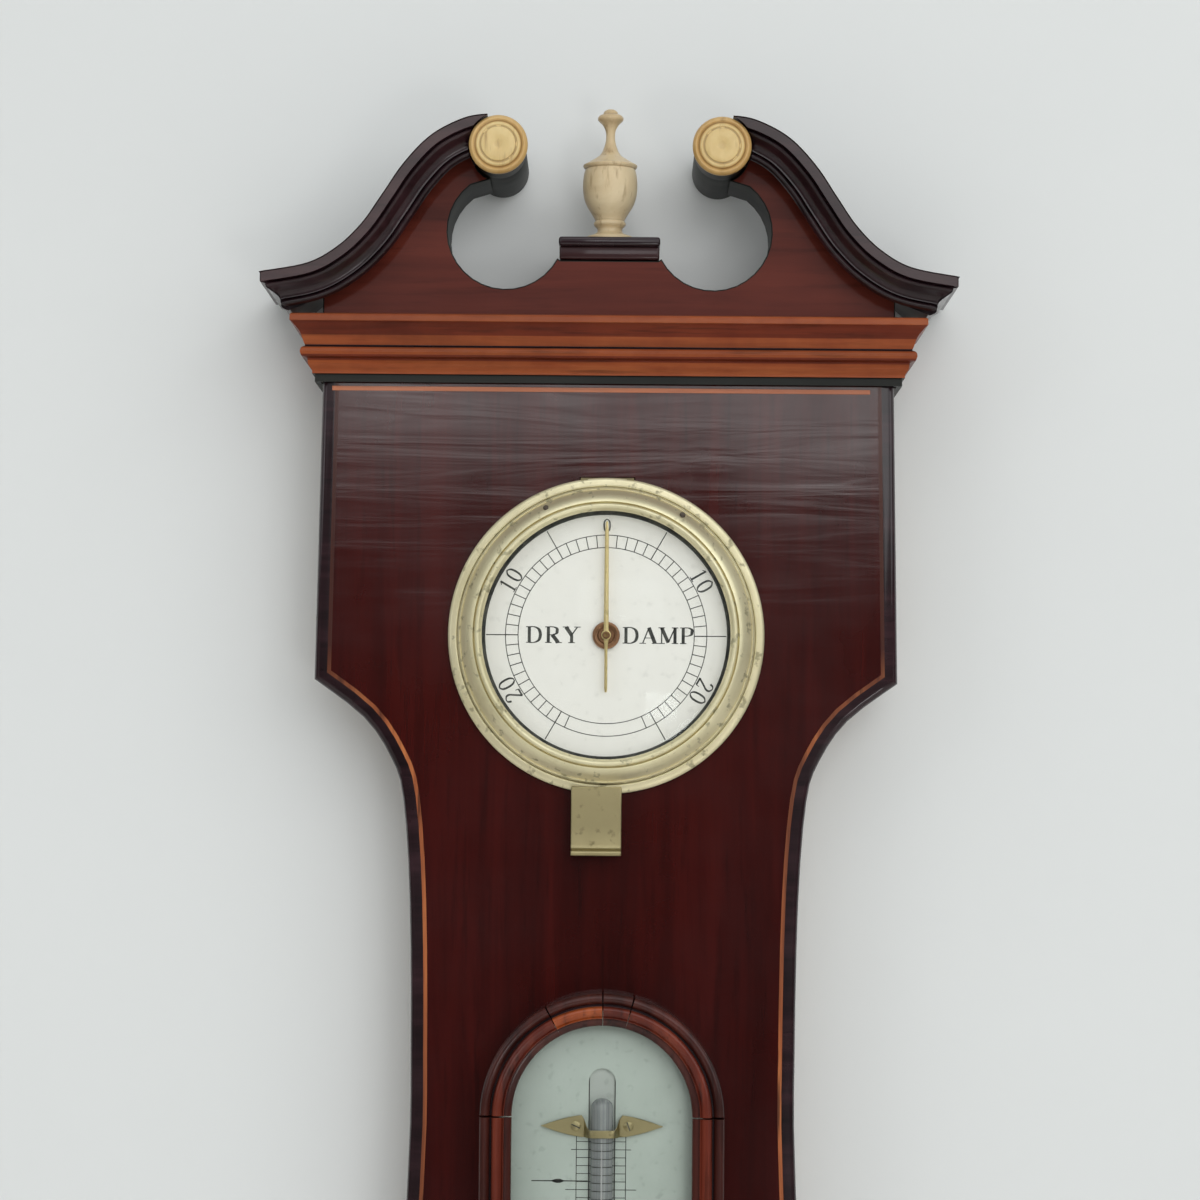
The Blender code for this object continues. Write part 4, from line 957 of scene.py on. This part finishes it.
def dress_hygrometer():
    plate = lathe(
        "hygro_silvered_dial", mm((1.4, 1.2), (33.1, 1.2), (33.4, 1), (33.5, 0.6), (33.5, 0), (1.4, 0),
        (1.4, 1.2)), tuple(HYGRO), SILVERED, "case")
    stands_for(plate, "hygro_dial")
    front = HYGRO_LOW.y
    marks = [ring_line(HYGRO_OUTER, -180, 180, 0.00022), ring_line(HYGRO_INNER, -180, 180, 0.00022)]
    marks += [spoke(6 * i, HYGRO_INNER, HYGRO_OUTER, 0.00024) for i in range(-26, 27)]
    marks += [spoke(angle, HYGRO_INNER, HYGRO_LONG, 0.00026) for angle in (-150, -90, -30, 30, 90, 150)]
    for figure, bearing in (("0", 0), ("10", 60), ("10", -60), ("20", 120), ("20", -120)):
        a = math.radians(bearing)
        size = 0.0034 if figure == "0" else 0.0044
        marks += lettering(
            figure, size, (HYGRO_FIGURES * math.sin(a), HYGRO_FIGURES * math.cos(a)), bearing, 0.22, 0.6)
    marks += lettering("DRY", 0.0041, (-0.0140, 0.0001), 0.0, 0.20, 1.0, 1.22)
    marks += lettering("DAMP", 0.0041, (0.0137, 0.0001), 0.0, 0.14, 1.0, 1.22)
    made = engraved("hygro_engraving", marks, front, "case", around=(0.0, HYGRO.z))
    # A dark ring on the dial just inside the bezel's sight edge: painted shadow of the bezel.
    made = lathe(
        "hygro_painted_shadow_ring", mm((31.7, 1.2), (31.9, 1.5), (33, 1.5), (33, 1.2)), tuple(HYGRO), INK, "case",
        steps=96)
    bezel = lathe(
        "hygro_moulded_bezel", bezel_profile(0.0415, 0.0325), tuple(HYGRO), BRASS, "hygrometer_bezel",
        steps=160)
    stands_for(bezel, "hygro_bezel")
    for side, x, z in (("left", -0.0160, 0.0330), ("right", 0.0197, 0.0315)):
        pin = lathe(
            "bezel_pin_" + side, mm((0, 0.9), (0.6, 0.8), (0.8, 0), (0, 0)),
            (x, SEAT - 0.0055, HYGRO.z + z), IRON, "hygrometer_bezel", steps=20)
    glass = crown_glass("hygro_crown_glass", 0.0342, 0.0325, 0.0046, tuple(HYGRO), "hygrometer_bezel")
    stands_for(glass, "hygro_glass")
    z = HYGRO.z
    blade = [
        (0.0, 0.0300), (0.0003, 0.0297), (0.0005, 0.0270), (0.0006, 0.0100), (0.00065, 0.0020),
        *arc((0.0, 0.0), 0.0013, 60, -60, 9), (0.0005, -0.0024), (0.0004, -0.0040), (0.0004, -0.0110),
        (0.0004, -0.0140), (0.0003, -0.0149), (0.0, -0.0150)]
    made = board(
        "hygro_straw_hand", [(x, z + v) for x, v in mirrored(blade)], -0.0361, -0.0355, HAND_BRASS,
        "hygrometer_hand", edge=0.00015)
    stands_for(made, "hygro_hand")
    hub = lathe(
        "hygro_turned_hub", mm((0, 2.6), (0.7, 2.6), (1, 2.3), (1.4, 1.4), (2, 1.4), (2.3, 1.1), (2.6, 1.1),
        (3, 1.3), (3.4, 1.2), (3.6, 0.8), (3.6, 0), (0, 0)), (0.0, -0.0338, z), COPPER, "hygrometer_hand",
        steps=64)
    stands_for(hub, "hygro_hub")
    low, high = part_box("hygro_tab")
    side = [
        (-0.0364, high.z), (-0.0364, low.z + 0.0028), (-0.0364, low.z + 0.0028), (-0.0366, low.z + 0.0020),
        (-0.0374, low.z + 0.0015), (-0.0382, low.z + 0.0013), (-0.0385, low.z + 0.0008),
        (-0.0383, low.z + 0.0002), (-0.0378, low.z), (-0.0352, low.z), (-0.0348, low.z + 0.0004),
        (-0.0348, low.z + 0.0004), (-0.0348, high.z)]
    made = run(
        "hygro_lipped_tab", [(-y, height) for y, height in curved(side, 3)], lambda out,
        height: (low.x, -out, height), lambda out, height: (high.x, -out, height), FITTING_BRASS,
        "hygrometer_bezel")
    rounding = made.modifiers.new("rounding", "BEVEL")
    rounding.width, rounding.segments, rounding.limit_method, rounding.angle_limit = 0.00025, 2, "ANGLE", 0.9
    stands_for(made, "hygro_tab")


# Thermometer: centre and radius of its arch, and its scale's first line, spacing, ends and two edges
ARCH_Z, ARCH_RADIUS = -0.1797, 0.0275
FIRST_LINE, GRADUATION = -0.1868, 0.00207
SCALE_TOP, SCALE_FOOT, STEM_FOOT = -0.1850, -0.3700, -0.3600
SCALE_LEFT, SCALE_RIGHT = -0.0066, 0.00625
ARROW_Z = -0.1970


def dress_thermometer():
    z, radius = ARCH_Z, ARCH_RADIUS
    section = [
        (0.5, 0.0), (0.5, 0.0), (4.2, 0.0), (4.2, 0.0), (4.2, 9.2), (4.1, 10.2), (3.6, 10.9), (2.8, 11.1),
        (2.0, 10.7), (1.5, 9.9), (1.5, 9.9), (1.4, 9.4), (1.4, 9.4), (1.0, 9.4), (1.0, 9.4), (0.9, 10.6),
        (0.6, 11.4), (0.1, 11.7), (-0.6, 11.6), (-1.4, 11.1), (-1.8, 10.6), (-1.8, 10.6), (-2.0, 10.9),
        (-2.2, 10.7), (-2.2, 10.7), (-2.3, 9.9), (-2.3, 9.9), (-3.0, 9.8), (-3.7, 9.4), (-4.1, 8.9),
        (-4.2, 8.2), (-4.2, 8.2), (0.5, 8.2), (0.5, 8.2)]
    section = [(a / 1000, rise / 1000) for a, rise in curved(section, 2)[1:-1]]
    paints = [FRAME_WOOD, EBONISED, BAND_WOOD]
    slots = []
    # Slot 1 is painted shade: black on the floor of the groove between the outer bead and the middle band.
    # Slot 2 is the middle band's own lighter wood.
    for (a, rise), (b, high) in zip(section, section[1:] + section[:1]):
        middle = (a + b) / 2
        band = -0.0023 < middle < 0.0010 and rise > 0.0095
        slots.append(2 if band else 1 if 0.0010 <= middle < 0.0015 and rise < 0.0096 else 0)
    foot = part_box("thermo_stile_left")[0].z
    for side, sign in (("left", -1), ("right", 1)):
        flipped = [(-sign * a, rise) for a, rise in section]
        joint = 62 if side == "left" else 75
        spans = [("lower", 0.3, joint), ("upper", joint + 0.5, 89.7)]
        for part, start, stop in spans:
            bow = [(sign * x, v) for x, v in arc((0.0, z), radius, start, stop, 18)]
            looks = [FRAME_WOOD, EBONISED, PATCH_WOOD] if (side, part) == ("left", "upper") else paints
            made = swept("thermo_bow_%s_%s" % (side, part), bow, flipped, looks, "case", slots=slots)
            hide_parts("thermo_arch_" + side)
        made = swept(
            "thermo_side_" + side, [(sign * radius, foot), (sign * radius, z - 0.0003)], flipped, paints,
            "case", slots=slots)
        stands_for(made, "thermo_stile_" + side)
    low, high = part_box("thermo_sill")
    profile = [
        (0.0, low.z), (0.0, low.z), (0.0098, low.z), (0.0108, low.z + 0.0004), (0.0112, low.z + 0.0012),
        (0.0107, low.z + 0.0020), (0.0107, low.z + 0.0020), (0.0100, low.z + 0.0022),
        (0.0100, low.z + 0.0026), (0.0100, low.z + 0.0026), (0.0113, low.z + 0.0030),
        (0.0117, low.z + 0.0045), (0.0116, low.z + 0.0062), (0.0108, low.z + 0.0074), (0.0095, high.z),
        (0.0095, high.z), (0.0, high.z), (0.0, high.z)]
    made = run(
        "thermo_moulded_sill", curved(profile, 3)[1:-1], lambda out, height: (low.x, SEAT - out, height),
        lambda out, height: (high.x, SEAT - out, height), FRAME_WOOD, "case")
    stands_for(made, "thermo_sill")
    outer, *slot = outlines("thermo_plate")
    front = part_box("thermo_plate")[0].y
    plate = board(
        "thermo_silvered_plate", outer, front, SEAT, PLATE_SILVER, "case", edge=0.0002, holes=slot)
    stands_for(plate, "thermo_plate")
    marks = [([(x, SCALE_TOP), (x, SCALE_FOOT)], 0.00022) for x in (SCALE_LEFT, SCALE_RIGHT)]
    height, number = FIRST_LINE, 0
    while height > SCALE_FOOT + 0.001:
        wide = 0.0028 if number % 10 == 6 else 0.0014 if number % 5 == 1 else 0.0
        marks.append(([(SCALE_LEFT - wide, height), (SCALE_RIGHT + wide, height)], 0.00020))
        if number % 10 == 6 and number > 6:
            text = str(110 - number + 6)
            marks += lettering(text, 0.0036, (-0.0142, height), 0.0, 0.06)
        height -= GRADUATION
        number += 1
    marks += [
        ([(x, ARROW_Z) for x in (-0.0182, -0.0036)], 0.0003), ([(x, ARROW_Z) for x in (-0.0130, -0.0118,
        -0.0108, -0.0098)], [0.0003, 0.0011, 0.0011, 0.0003])]
    made = engraved("thermo_engraving", marks, front, "case")
    made = block(
        "thermo_tube_bed", (-0.0033, SEAT - 0.0003, -0.3800), (0.0033, SEAT - 0.00002, -0.1672), BED,
        "case", 0.0001, 1)
    low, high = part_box("thermo_tube")
    middle = (low.y + high.y) / 2
    bore = lathe(
        "thermo_bore", mm((0, 188), (0.2, 187.8), (0.28, 180), (0.28, 90), (0, 90)),
        (0.0, middle - 0.0027, low.z), ENAMEL, "case", upright=True, steps=16)
    made = lathe(
        "thermo_glass_stem", curved([(0.0, high.z - low.z), (0.0014, high.z - low.z - 0.0003),
        (0.0026, high.z - low.z - 0.0014), (0.0029, high.z - low.z - 0.0032),
        (0.0029, high.z - low.z - 0.0032), (0.0029, 0.0044), (0.0029, 0.0044), (0.0024, 0.0016),
        (0.0012, 0.0003), (0.0, 0.0)], 3), (0.0, middle, low.z), STEM_GLASS, "case", upright=True, steps=32)
    stands_for(made, "thermo_tube")
    shape = bmesh.new()
    height = FIRST_LINE
    while height > STEM_FOOT:
        bow = [math.radians(-75 + 150 * i / 12) for i in range(13)]
        rows = [
            [shape.verts.new((0.00293 * math.sin(a), middle - 0.00293 * math.cos(a),
            height + rise)) for a in bow] for rise in (-0.00011, 0.00011)]
        for i in range(12):
            shape.faces.new((rows[0][i], rows[0][i + 1], rows[1][i + 1], rows[1][i]))
        height -= GRADUATION
    made = piece("thermo_stem_marks", to_mesh("thermo_stem_marks", shape), INK, "case")
    made = lathe(
        "thermo_mercury", curved(mm((0, 102), (0.4, 101.7), (0.5, 101), (0.5, 101), (0.5, 14), (0.7, 12),
        (2.1, 10), (2.4, 8), (2.4, 4), (1.8, 1.8), (0, 1.2)), 3), (0.0, middle, low.z), MERCURY, "case",
        upright=True, steps=24)
    for place in ("upper", "lower"):
        low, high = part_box("tube_saddle_" + place)
        level = (low.z + high.z) / 2
        shape = bmesh.new()
        steps = 48
        rows = []
        for i in range(steps + 1):
            x = low.x + (high.x - low.x) * i / steps
            wide = 0.0028 * max(0.04, 1 - (max(0.0, abs(x) - 0.0050) / 0.0108) ** 1.5)
            top = -0.3 + 1.3 * min(1.0, max(0.0, (abs(x) - 0.0036) / 0.0014))
            lift = 0.0032 * max(0.0, 1 - (abs(x) / 0.0046) ** 4) ** 0.5 if abs(x) < 0.0046 else 0.0
            y = -0.0348 - lift * (-0.0348 - low.y) / 0.0032
            rows.append(
                [shape.verts.new((x, y + d, level + wide * w)) for w, d in ((-1, 0.0007), (-1, 0.0001),
                (-0.94, 0.0), (top - 0.06, 0.0), (top, 0.0001), (top, 0.0007))])
        for first, second in zip(rows, rows[1:]):
            for k in range(6):
                shape.faces.new((first[k], first[(k + 1) % 6], second[(k + 1) % 6], second[k]))
        shape.faces.new(rows[0])
        shape.faces.new(rows[-1])
        bmesh.ops.recalc_face_normals(shape, faces=shape.faces)
        made = piece(
            "thermo_saddle_" + place, to_mesh("thermo_saddle_" + place, shape), FITTING_BRASS, "case")
        stands_for(made, "tube_saddle_" + place)
        for side, x in (("left", -0.0068), ("right", 0.0069)):
            screw(
                "saddle_screw_%s_%s" % (place, side), (x, -0.0348, level), 0.0013, "case",
                25 if x < 0 else 70)


def pointer(name, node, blade, centre_z, material, body):
    low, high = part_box(node)
    made = board(
        name, [(x, centre_z + v) for x, v in mirrored(blade)], low.y, high.y, material, body, edge=0.0002)
    return stands_for(made, node)


# Radii of the main dial's scale: its inner circle, fine, half and long divisions
DIAL_INNER, DIAL_FINE, DIAL_HALF, DIAL_LONG = 0.0915, 0.0950, 0.0965, 0.0985


def dress_dial():
    z = DIAL.z
    place = tuple(DIAL)
    plate = lathe(
        "main_silvered_dial", mm((2.8, 1.5), (80, 1.5), (103.1, 1.5), (103.4, 1.3), (103.5, 0.8),
        (103.5, 0), (2.8, 0), (2.8, 1.5)), place, SILVERED, "case", steps=128)
    stands_for(plate, "main_dial")
    marks = [
        ring_line(radius, -180, 180, width, 180) for radius, width in ((DIAL_LONG, 0.0005),
        (DIAL_FINE, 0.0003), (DIAL_INNER, 0.0004), (0.0700, 0.0003))]
    for i in range(300):
        bearing = -180 + 1.2 * i
        reach = DIAL_LONG if i % 10 == 0 else DIAL_HALF if i % 5 == 0 else DIAL_FINE
        marks.append(spoke(bearing, DIAL_INNER, reach, 0.00042 if i % 10 == 0 else 0.00028))
    for figure, bearing in (("29", -60), ("30", 60), ("31", 175.0), ("28", -175.0)):
        marks += around_dial(figure, 0.0066, 0.0862, bearing)
    for bearing in (-150, -120, -90, -30, 0, 30, 90, 120, 150):
        tenths = round((bearing / 120 + 29.5) * 100) % 100
        if tenths == 50:
            marks += around_dial("5", 0.0050, 0.0866, bearing)
        else:
            marks += [spoke(bearing, 0.0840, 0.0890, 0.0004)]
    for words, bearing in (
            ("CHANGE", 0), ("RAIN", -60), ("MUCH RAIN", -120), ("STORMY", -163), ("FAIR", 60),
            ("SET FAIR", 120), ("VERY DRY", 163)):
        marks += around_dial(words, 0.0054, 0.0755, bearing)
    for i in range(8):
        petal = [
            spoke(45 * i + 22.5 * turn / 12, 0.010 + 0.016 * math.cos(math.pi / 2 * abs(turn) / 12), 0.0,
            0)[0][0] for turn in range(-12, 13)]
        marks.append((petal, 0.0003))
    made = engraved("main_engraving", marks, DIAL_LOW.y, "case", around=(0.0, z))
    bezel = lathe(
        "main_moulded_bezel", bezel_profile(0.1110, 0.1020), place, BRASS, "dial_bezel", steps=224)
    stands_for(bezel, "main_bezel")
    glass = crown_glass("main_crown_glass", 0.1037, 0.1020, 0.0075, place, "dial_bezel")
    stands_for(glass, "main_glass")
    steel = [
        (0.0, 0.0900), (0.0004, 0.0880), (0.0010, 0.0800), (0.0013, 0.0700), (0.0034, 0.0640),
        (0.0046, 0.0600), (0.0034, 0.0560), (0.0014, 0.0530), (0.0018, 0.0300), (0.0024, 0.0085),
        *arc((0.0, 0.0), 0.0060, 62, -62, 17), (0.0024, -0.0085), (0.0020, -0.0200), (0.0030, -0.0240),
        (0.0042, -0.0290), (0.0036, -0.0325), (0.0, -0.0340)]
    pointer("pressure_steel_hand", "pressure_hand", steel, z, STEEL, "pressure_wheel")
    brass = [
        (0.0, 0.0820), (0.0005, 0.0790), (0.0012, 0.0740), (0.0008, 0.0700), (0.0012, 0.0690),
        (0.0014, 0.0300), (0.0018, 0.0068), *arc((0.0, 0.0), 0.0050, 62, -62, 15), (0.0018, -0.0068),
        (0.0014, -0.0180), (0.0026, -0.0205), (0.0030, -0.0230), (0.0022, -0.0252), (0.0, -0.0260)]
    pointer("set_brass_hand", "set_hand", brass, z, HAND_BRASS, "marker_hand")
    cap = lathe(
        "pressure_hand_cap", mm((0, 1.4), (0.7, 1.3), (1.4, 0.9), (1.5, 0.5), (2.4, 0.4), (2.6, 0), (0, 0)),
        (0.0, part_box("pressure_hand")[0].y, z), FITTING_BRASS, "pressure_wheel", steps=48)


def dress_key():
    low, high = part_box("key_knob")
    z = (low.z + high.z) / 2
    profile = mm(
        (0, 13), (1.2, 13), (2.4, 12.7), (4, 12), (5.3, 10.7), (6.1, 9.2), (6.1, 9.2), (6.2, 8.6), (6.1, 8),
        (6.1, 8), (5.7, 6.2), (4.6, 4.8), (3.6, 4), (3.4, 3.4), (3.4, 3.4), (4.2, 3.1), (4.9, 2.4),
        (5, 1.2), (5, 0), (5, 0), (0, 0))
    made = lathe(
        "key_bone_knob", curved(profile, 3), (0.0, high.y, z), BONE, "setting_key", steps=72, smooth=40)
    stands_for(made, "key_knob")
    made = lathe(
        "key_brass_collar", mm((2.2, 0), (2.2, 1.3), (2.6, 1.4), (4.4, 1.4), (4.8, 1), (5.2, 1), (5.8, 1.3),
        (6.6, 1.1), (7, 0.5), (7, 0), (2.2, 0)), (0.0, SEAT, z), FITTING_BRASS, "case", steps=72)
    stands_for(made, "key_collar")


def dress_level():
    outer, *window = outlines("level_plate")
    low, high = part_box("level_plate")
    plate = board("level_silvered_plate", outer, low.y, high.y, SILVERED, "case", edge=0.0003, holes=window)
    stands_for(plate, "level_plate")
    z = (low.z + high.z) / 2
    marks = [([(side * 0.0165, z - 0.0030), (side * 0.0165, z + 0.0030)], 0.0003) for side in (-1, 1)]
    marks += [([(x, z + s * 0.0058) for x in (-0.0150, 0.0150)], 0.00025) for s in (-1, 1)]
    engraved("level_engraving", marks, low.y, "case")
    for side, x in (("left", -0.0198), ("right", 0.0198)):
        screw("level_screw_" + side, (x, low.y, z), 0.0013, "case", 15 if x < 0 else -40)
    low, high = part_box("level_vial")
    middle, length = (low + high) / 2, high.x - low.x
    for name, radius, inset, material, lift in (
            ("level_glass_vial", 0.0032, 0.0, TUBE_GLASS, 0.0), ("level_spirit_fill", 0.0026, 0.0007,
            SPIRIT, -0.0001)):
        reach = length - 2 * inset
        made = lathe(
            name, [(0.0, reach), (radius * 0.55, reach - 0.0003), (radius * 0.9, reach - 0.0012),
            (radius, reach - 0.0022), (radius, 0.0022), (radius * 0.9, 0.0012), (radius * 0.55, 0.0003),
            (0.0, 0.0)], (0.0, 0.0, 0.0), material, "case", upright=True, steps=40)
        made.data.transform(
            Matrix.Translation((low.x + inset, middle.y,
            middle.z + lift)) @ Matrix.Rotation(math.pi / 2, 4, "Y"))
        if name == "level_glass_vial":
            stands_for(made, "level_vial")


def dress_back():
    low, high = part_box("back_door")
    door = block("panelled_back_door", low, high, PINE, "door", edge=0.0006, segments=2)
    stands_for(door, "back_door")
    ring = lathe(
        "door_finger_hole", mm((3, 0.4), (5, 0.6), (5.6, 0.3), (5.6, 0), (3, 0), (3, 0.4)),
        (0.040, 0.0, -0.6415), FITTING_BRASS, "door", steps=48)
    ring.data.transform(Matrix.Translation((0.0, high.y, 0.0)) @ Matrix.Scale(-1, 4, (0, 1, 0)))
    ring.data.flip_normals()
    for number, (x, z) in enumerate(((0.0, 0.0115), (-0.0060, -0.0185), (0.0060, -0.0185))):
        screw(
            "hanger_screw_%d" % number, (x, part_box("hanging_plate")[1].y - 0.0003, z), -0.0016, "case",
            40 * number, IRON)
    for place in ("upper", "lower"):
        low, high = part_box("tube_strap_" + place)
        for side, x in (("left", low.x + 0.0030), ("right", high.x - 0.0030)):
            screw(
                "strap_screw_%s_%s" % (place, side), (x, high.y - 0.0002, (low.z + high.z) / 2), -0.0015,
                "case", 30 if side == "left" else -20)


# CAD pieces that show as they are, with their finishes
FINISHES = {
    "mahogany": MAHOGANY, "cornice_wood": CORNICE_WOOD, "ebonised": EBONISED, "pine": PINE, "bone": BONE,
    "brass": FITTING_BRASS, "silvered": SILVERED, "blued_steel": STEEL, "glass": GLASS, "lead": LEAD,
    "silk": SILK, "straw": STRAW,
}
for row in frame["record"]["subparts"]:
    thing = NODES[row["node"]]
    thing.data.materials.clear()
    thing.data.materials.append(FINISHES[row["material_slot"]])

NODES["siphon_tube"].data.materials[0] = TUBE_GLASS

dress_case()
dress_cornice()
dress_pediment()
dress_finial()
dress_hygrometer()
dress_thermometer()
dress_dial()
dress_key()
dress_level()
dress_back()


# ---------------------------------------------------------------- the room

def stage_finish(name, colour, grain):
    """Plain paint for the room, seen from in front and clear from behind."""
    made = Finish(name)
    spread = made.noise(made.at((grain, grain, grain)), 1.0, 4.0, 0.6)
    low = tuple(0.98 * c for c in colour[:3]) + (1.0,)
    high = tuple(min(1.0, 1.02 * c) for c in colour[:3]) + (1.0,)
    made.done(Base_Color=made.ramp(spread, (0.3, low), (0.7, high)), Roughness=0.85, Specular_IOR_Level=0.2)
    clear = made.nodes.new("ShaderNodeBsdfTransparent")
    both = made.nodes.new("ShaderNodeMixShader")
    made.put(both.inputs[0], made.nodes.new("ShaderNodeNewGeometry").outputs["Backfacing"])
    made.put(both.inputs[1], made.shader.outputs[0])
    made.put(both.inputs[2], clear.outputs[0])
    made.put(made.nodes["Material Output"].inputs["Surface"], both.outputs[0])
    return made.material


def sheet_of(name, corners, material):
    mesh = bpy.data.meshes.new(name)
    mesh.from_pydata(corners, [], [tuple(range(len(corners)))])
    made = bpy.data.objects.new(name, mesh)
    bpy.context.scene.collection.objects.link(made)
    mesh.materials.append(material)
    return made


def card(name, place, aim, size, power, colour=(1.0, 1.0, 1.0)):
    """A soft light, turned to face a point."""
    data = bpy.data.lights.new(name, "AREA")
    data.shape = "RECTANGLE"
    data.size, data.size_y = size
    data.energy = power
    data.color = colour
    made = bpy.data.objects.new(name, data)
    made.location = place
    made.visible_camera = False
    made.rotation_euler = (Vector(aim) - Vector(place)).to_track_quat("-Z", "Y").to_euler()
    bpy.context.scene.collection.objects.link(made)
    return made


WALL = stage_finish("wall_paint", tone(217, 219, 218), 3.0)
FLOOR = stage_finish("floor_paint", tone(216, 214, 210), 2.0)
WALL_Y, WALL_TOP, FLOOR_Z, ROOM_HALF, FLOOR_FRONT = 0.0006, 2.6, -1.25, 4.0, -5.0
CASE_EDGE = outlines("case_front")[0]
OPENING_INSET = 0.006


def wall_opening(height):
    """Half width of the wall's opening behind the case, inside its outline, so that the back is lit too."""
    spans = [
        abs(a[0] + (b[0] - a[0]) * (height - a[1]) / (b[1] - a[1])) for a, b in zip(CASE_EDGE,
        CASE_EDGE[1:] + CASE_EDGE[:1]) if (a[1] - height) * (b[1] - height) < 0]
    return min(spans, default=OPENING_INSET) - OPENING_INSET


def build_room():
    """The wall, in four sheets round its opening, and the floor."""
    bottom = min(z for _, z in CASE_EDGE) + OPENING_INSET
    top = max(z for _, z in CASE_EDGE) - OPENING_INSET
    levels = [bottom + (top - bottom) * i / 120 for i in range(121)]
    opening = [(min(wall_opening(z + step) for step in (-0.004, 0.0, 0.004)), z) for z in levels]
    for side, sign in (("left", -1), ("right", 1)):
        edge = [(sign * half, WALL_Y, z) for half, z in opening]
        far = [(sign * ROOM_HALF, WALL_Y, z) for z in (top, bottom)]
        sheet_of("wall_" + side, [*edge, *far][::-sign], WALL)
    for name, low, high in (("wall_above", top, WALL_TOP), ("wall_below", FLOOR_Z, bottom)):
        sheet_of(
            name, [(x, WALL_Y, z) for x, z in ((-ROOM_HALF, low), (ROOM_HALF, low), (ROOM_HALF, high),
            (-ROOM_HALF, high))], WALL)
    sheet_of(
        "floor", [(x, y, FLOOR_Z) for x, y in ((-ROOM_HALF, FLOOR_FRONT), (ROOM_HALF, FLOOR_FRONT),
        (ROOM_HALF, ROOM_HALF), (-ROOM_HALF, ROOM_HALF))], FLOOR)


def light_world():
    """A pale room all round. Only glossy rays see it dark below and bright above."""
    world = bpy.data.worlds.new("pale_room")
    bpy.context.scene.world = world
    world.use_nodes = True
    nodes, link = world.node_tree.nodes, world.node_tree.links.new
    sky = nodes["Background"]
    direction = nodes.new("ShaderNodeTexCoord").outputs["Generated"]
    parts = nodes.new("ShaderNodeSeparateXYZ")
    link(direction, parts.inputs[0])
    height = nodes.new("ShaderNodeValToRGB")
    below, above = height.color_ramp.elements
    below.position, above.position = 0.545, 0.575
    below.color, above.color = (0.06, 0.052, 0.05, 1.0), (0.42, 0.45, 0.47, 1.0)
    half = nodes.new("ShaderNodeMath")
    half.operation = "MULTIPLY_ADD"
    half.inputs[1].default_value, half.inputs[2].default_value = 0.5, 0.5
    link(parts.outputs["Z"], half.inputs[0])
    link(half.outputs[0], height.inputs["Fac"])
    ways = nodes.new("ShaderNodeLightPath")
    seen = nodes.new("ShaderNodeMix")
    seen.data_type = "RGBA"
    link(ways.outputs["Is Glossy Ray"], seen.inputs["Factor"])
    seen.inputs[6].default_value = (0.53, 0.545, 0.55, 1.0)
    link(height.outputs["Color"], seen.inputs[7])
    link(seen.outputs[2], sky.inputs["Color"])
    sky.inputs["Strength"].default_value = 1.0


def place_camera():
    """The camera in front of the case, looking slightly up and turned half a degree."""
    scene = bpy.context.scene
    scene.view_settings.view_transform = "Standard"
    lens = bpy.data.cameras.new("camera")
    camera = bpy.data.objects.new("camera", lens)
    scene.collection.objects.link(camera)
    scene.camera = camera
    camera.location = (0.003, -0.972, -0.098)
    aim = Vector((-0.0017, -0.032, -0.0456)) - camera.location
    roll = Matrix.Rotation(math.radians(0.5), 4, "Z").to_quaternion()
    camera.rotation_euler = (aim.to_track_quat("-Z", "Y") @ roll).to_euler()
    lens.lens = 107.5
    lens.clip_start = 0.01


build_room()
light_world()
card("window_right", (1.9, -2.2, 1.0), (0.0, 0.0, -0.2), (1.9, 2.2), 17.0, (0.97, 0.99, 1.0))
card("window_left", (-2.3, -2.4, 0.7), (0.0, 0.0, -0.2), (1.2, 1.5), 7.0, (0.96, 0.98, 1.0))
card("ceiling", (0.0, -2.6, 2.2), (0.0, 0.0, -0.1), (2.2, 1.2), 12.0)
card("bright_window", (0.22, -3.0, 0.60), (0.22, 0.0, 0.60), (1.3, 0.66), 5.2)
card("window_row", (0.0, -2.99, 0.36), (0.0, 0.0, 0.36), (0.80, 0.035), 0.22)
card("front_fill", (0.7, -2.9, 0.5), (0.0, 0.0, -0.15), (1.6, 1.6), 18.0).visible_glossy = False
card("floor_glow", (0.87, -3.0, -1.02), (0.0, 0.0, -0.05), (0.5, 0.4), 5.0)
card("right_panes", (0.22, -2.98, 0.30), (0.22, 0.0, 0.30), (0.11, 0.09), 0.09)
place_camera()
